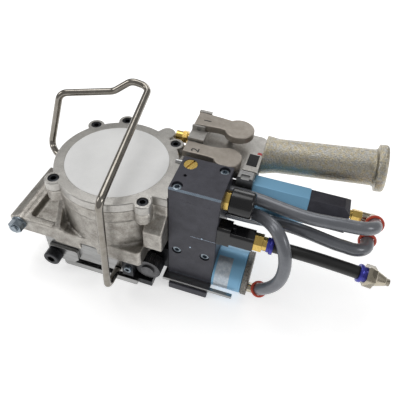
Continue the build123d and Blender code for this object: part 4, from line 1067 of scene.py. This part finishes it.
@dataclass
class AirLines:
    """The three hoses, the inlet tube and their push-in collars. Route points are in millimetres."""

    radius: float = 6.0 * MM
    pieces: tuple[Piece, ...] = (
        Piece("muffler_cap", Finishes.BLACK, size=0.4 * MM),
        Piece("inlet_body", Finishes.BLACK, size=0.5 * MM),
        Piece("air_nipple", Finishes.NICKEL, size=0.0),
    )
    hoses: tuple[Route, ...] = (
        Route("hose_1", Finishes.HOSE, 0.1463, (
            (112.0, 4.0, 117.5), (136.0, 4.0, 117.5), (160.0, -1.2, 118.4), (186.0, -7.0, 120.4),
            (205.0, -8.4, 123.2), (217.0, -8.2, 124.6), (225.4, -8.3, 125.2), (231.7, -8.4, 126.1),
            (237.7, -6.3, 125.7), (242.4, -2.4, 124.0), (245.0, 2.786, 121.228), (245.0, 8.047, 117.947))),
        Route("hose_2", Finishes.HOSE, 0.1487, (
            (112.0, 5.0, 88.0), (136.0, 5.0, 88.0), (160.0, 1.4, 95.0), (184.0, -6.5, 102.5),
            (204.0, -11.0, 103.4), (217.0, -12.2, 102.2), (225.4, -11.9, 101.6), (231.8, -12.4, 101.3),
            (237.8, -10.4, 100.5), (242.5, -6.2, 99.3), (245.0, -0.495, 97.999), (245.0, 5.580, 96.759))),
        Route("hose_3", Finishes.HOSE, 0.1578, (
            (112.0, -2.0, 103.0), (134.0, -2.0, 103.0), (151.0, -13.0, 111.5), (164.0, -27.0, 116.0),
            (174.0, -37.0, 105.0), (178.5, -41.5, 88.0), (178.0, -42.5, 68.0), (172.5, -41.5, 52.5),
            (164.317, -38.475, 39.687), (161.611, -34.417, 32.111))),
    )
    inlet: Route = Route("inlet_tube", Finishes.TUBE, 0.0773, (
        (164.0, -27.0, 94.0), (190.0, -27.0, 94.0), (216.0, -26.6, 92.2), (241.0, -26.0, 89.0)), "fitting")
    collar_length: float = 5.0 * MM
    ring_radius: float = 8.4 * MM
    tube_collar_length: float = 6.0 * MM

    def collar(self, name: str, end: Vector, back: Vector, length: float, radius: float) -> bpy.types.Object:
        """Turn one push-in collar round a hose's end.

        Args:
            name: The object's name.
            end: The middle of the collar's open mouth.
            back: The direction from the mouth into the collar.
            length: The collar's length.
            radius: Its lip's radius.

        Returns:
            The collar.
        """
        bore = self.radius + 0.12 * MM
        lip = 0.9 * MM
        profile = [(bore, 0.15 * MM), (bore + 0.5 * MM, 0.0), (radius - lip, 0.0),
                   (radius - 0.25 * lip, 0.3 * lip), (radius, lip), (radius, length * 0.45),
                   (radius - 0.3 * lip, length * 0.45 + 0.5 * lip),
                   (radius - 1.5 * lip, length * 0.55 + 0.4 * lip), (radius - 1.5 * lip, length),
                   (bore, length)]
        return lathe(name, profile, facing(back, end))

    def build(self) -> None:
        """Make the air lines."""
        build_pieces(self.pieces)
        rings = []
        for route in self.hoses:
            end, before = Vector(route.points[-1]) * MM, Vector(route.points[-2]) * MM
            rings.append(self.collar("ring", end, end - before, self.collar_length, self.ring_radius))
            route.lay(self.radius)
        dress(joined("push_rings", rings), Finishes.RED, "hose_collars")
        first, after = (Vector(self.inlet.points[i]) * MM for i in (0, 1))
        last, before = (Vector(self.inlet.points[i]) * MM for i in (-1, -2))
        mouths = [self.collar("mouth", first, first - after, self.tube_collar_length, self.ring_radius),
                  self.collar("mouth", last, last - before, self.tube_collar_length, self.ring_radius)]
        collars = dress(joined("tube_collar_rings", mouths), Finishes.VIOLET, "tube_collars")
        nipple = bpy.data.objects["air_nipple_skin"]
        self.inlet.lay(self.radius, (nipple, collars))


def build_pieces(pieces: Iterable[Piece]) -> None:
    """Make each piece of a list."""
    for piece in pieces:
        piece.make()


def paint_nodes(finishes: dict[str, Finishes]) -> None:
    """Give CAD nodes that keep their own shape a finish.

    Args:
        finishes: The finish of each node.
    """
    for node, finish in finishes.items():
        target = frame["nodes"][node].data
        target.materials.clear()
        target.materials.append(finish.value.material())
        log.info("%s keeps its shape", node)


# ---------------------------------------------------------------------------------------------------
# studio
# ---------------------------------------------------------------------------------------------------

@dataclass
class Studio:
    """A pale floor, soft lights and the camera above the tool's front right."""

    camera_place: Point = (0.1596, -0.2855, 0.4096)
    yaw: float = -0.256
    pitch: float = 0.810
    roll: float = 0.071
    sensor: float = 36.0
    focal_share: float = 440.3 / 400.0
    floor_size: float = 6.0
    floor_colour: Colour = (0.90, 0.90, 0.90)
    floor_glow: float = 0.5
    ambient: float = 0.36
    lights: tuple[tuple[str, Point, float, float], ...] = (
        ("overhead_softbox", (-0.25, 0.35, 1.3), 0.8, 5.0),
        ("left_softbox", (-1.1, -0.35, 0.9), 0.5, 3.0),
        ("right_strip", (1.1, -0.2, 0.8), 0.35, 2.0),
        ("back_strip", (0.2, 1.2, 0.6), 0.5, 2.0),
    )

    def build(self) -> None:
        """Set up the floor, the lights, the world and the camera."""
        self.floor()
        target = (Vector(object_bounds()[0]) + Vector(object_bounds()[1])) / 2
        for name, place, size, power in self.lights:
            self.light(name, Vector(place), target, size, power)
        world = bpy.data.worlds.new("studio_world")
        world.use_nodes = True
        world.node_tree.nodes["Background"].inputs["Color"].default_value = (1.0, 1.0, 1.0, 1.0)
        world.node_tree.nodes["Background"].inputs["Strength"].default_value = self.ambient
        bpy.context.scene.world = world
        bpy.context.scene.view_settings.view_transform = "Standard"
        self.camera()

    def floor(self) -> None:
        """Lay the pale floor under the tool."""
        shape = bmesh.new()
        bmesh.ops.create_grid(shape, x_segments=1, y_segments=1, size=self.floor_size / 2)
        floor = link("studio_floor", to_mesh(shape, "studio_floor"))
        paper = Finish("pale_paper", self.floor_colour, self.floor_colour, 0.0, 0.9, 0.02, mottle_size=0.3,
                       grain_size=0.01, grain_depth=0.0, speckle=0.0)
        sheet = paper.material()
        shader = sheet.node_tree.nodes["Principled BSDF"]
        shader.inputs["Emission Color"].default_value = (1.0, 1.0, 1.0, 1.0)
        shader.inputs["Emission Strength"].default_value = self.floor_glow
        floor.data.materials.append(sheet)
        floor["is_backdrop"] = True

    def light(self, name: str, place: Vector, target: Vector, size: float, power: float) -> None:
        """Hang a square soft light that faces the tool.

        Args:
            name: Its name.
            place: Where it hangs.
            target: What it faces.
            size: Its side.
            power: Its power in watts.
        """
        lamp = bpy.data.lights.new(name, "AREA")
        lamp.size = size
        lamp.energy = power
        made = bpy.data.objects.new(name, lamp)
        made.location = place
        made.rotation_euler = (place - target).to_track_quat("Z", "Y").to_euler()
        bpy.context.scene.collection.objects.link(made)

    def camera(self) -> None:
        """Set up the camera."""
        reach = math.cos(self.pitch)
        forward = Vector((math.sin(self.yaw) * reach, math.cos(self.yaw) * reach, -math.sin(self.pitch)))
        level = Vector((math.cos(self.yaw), -math.sin(self.yaw), 0.0))
        upright = level.cross(forward)
        right = math.cos(self.roll) * level + math.sin(self.roll) * upright
        top = -math.sin(self.roll) * level + math.cos(self.roll) * upright
        lens = bpy.data.cameras.new("front_right_camera")
        lens.sensor_width = self.sensor
        lens.lens = self.focal_share * self.sensor
        lens.clip_start = 0.01
        made = bpy.data.objects.new("front_right_camera", lens)
        turn = Matrix((right, top, -forward)).transposed().to_4x4()
        made.matrix_world = Matrix.Translation(self.camera_place) @ turn
        bpy.context.scene.collection.objects.link(made)
        bpy.context.scene.camera = made


def main() -> None:
    """Build the whole tool around its CAD frame."""
    logging.basicConfig(level=logging.INFO, format="%(message)s")
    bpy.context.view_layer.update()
    Studio().build()
    AirLines().build()
    SealingHead().build()
    StrapJaw().build()
    TensionDrive().build()
    ValveBlock().build()
    LeverDeck().build()
    UpperMotor().build()


if __name__ == "__main__":
    main()
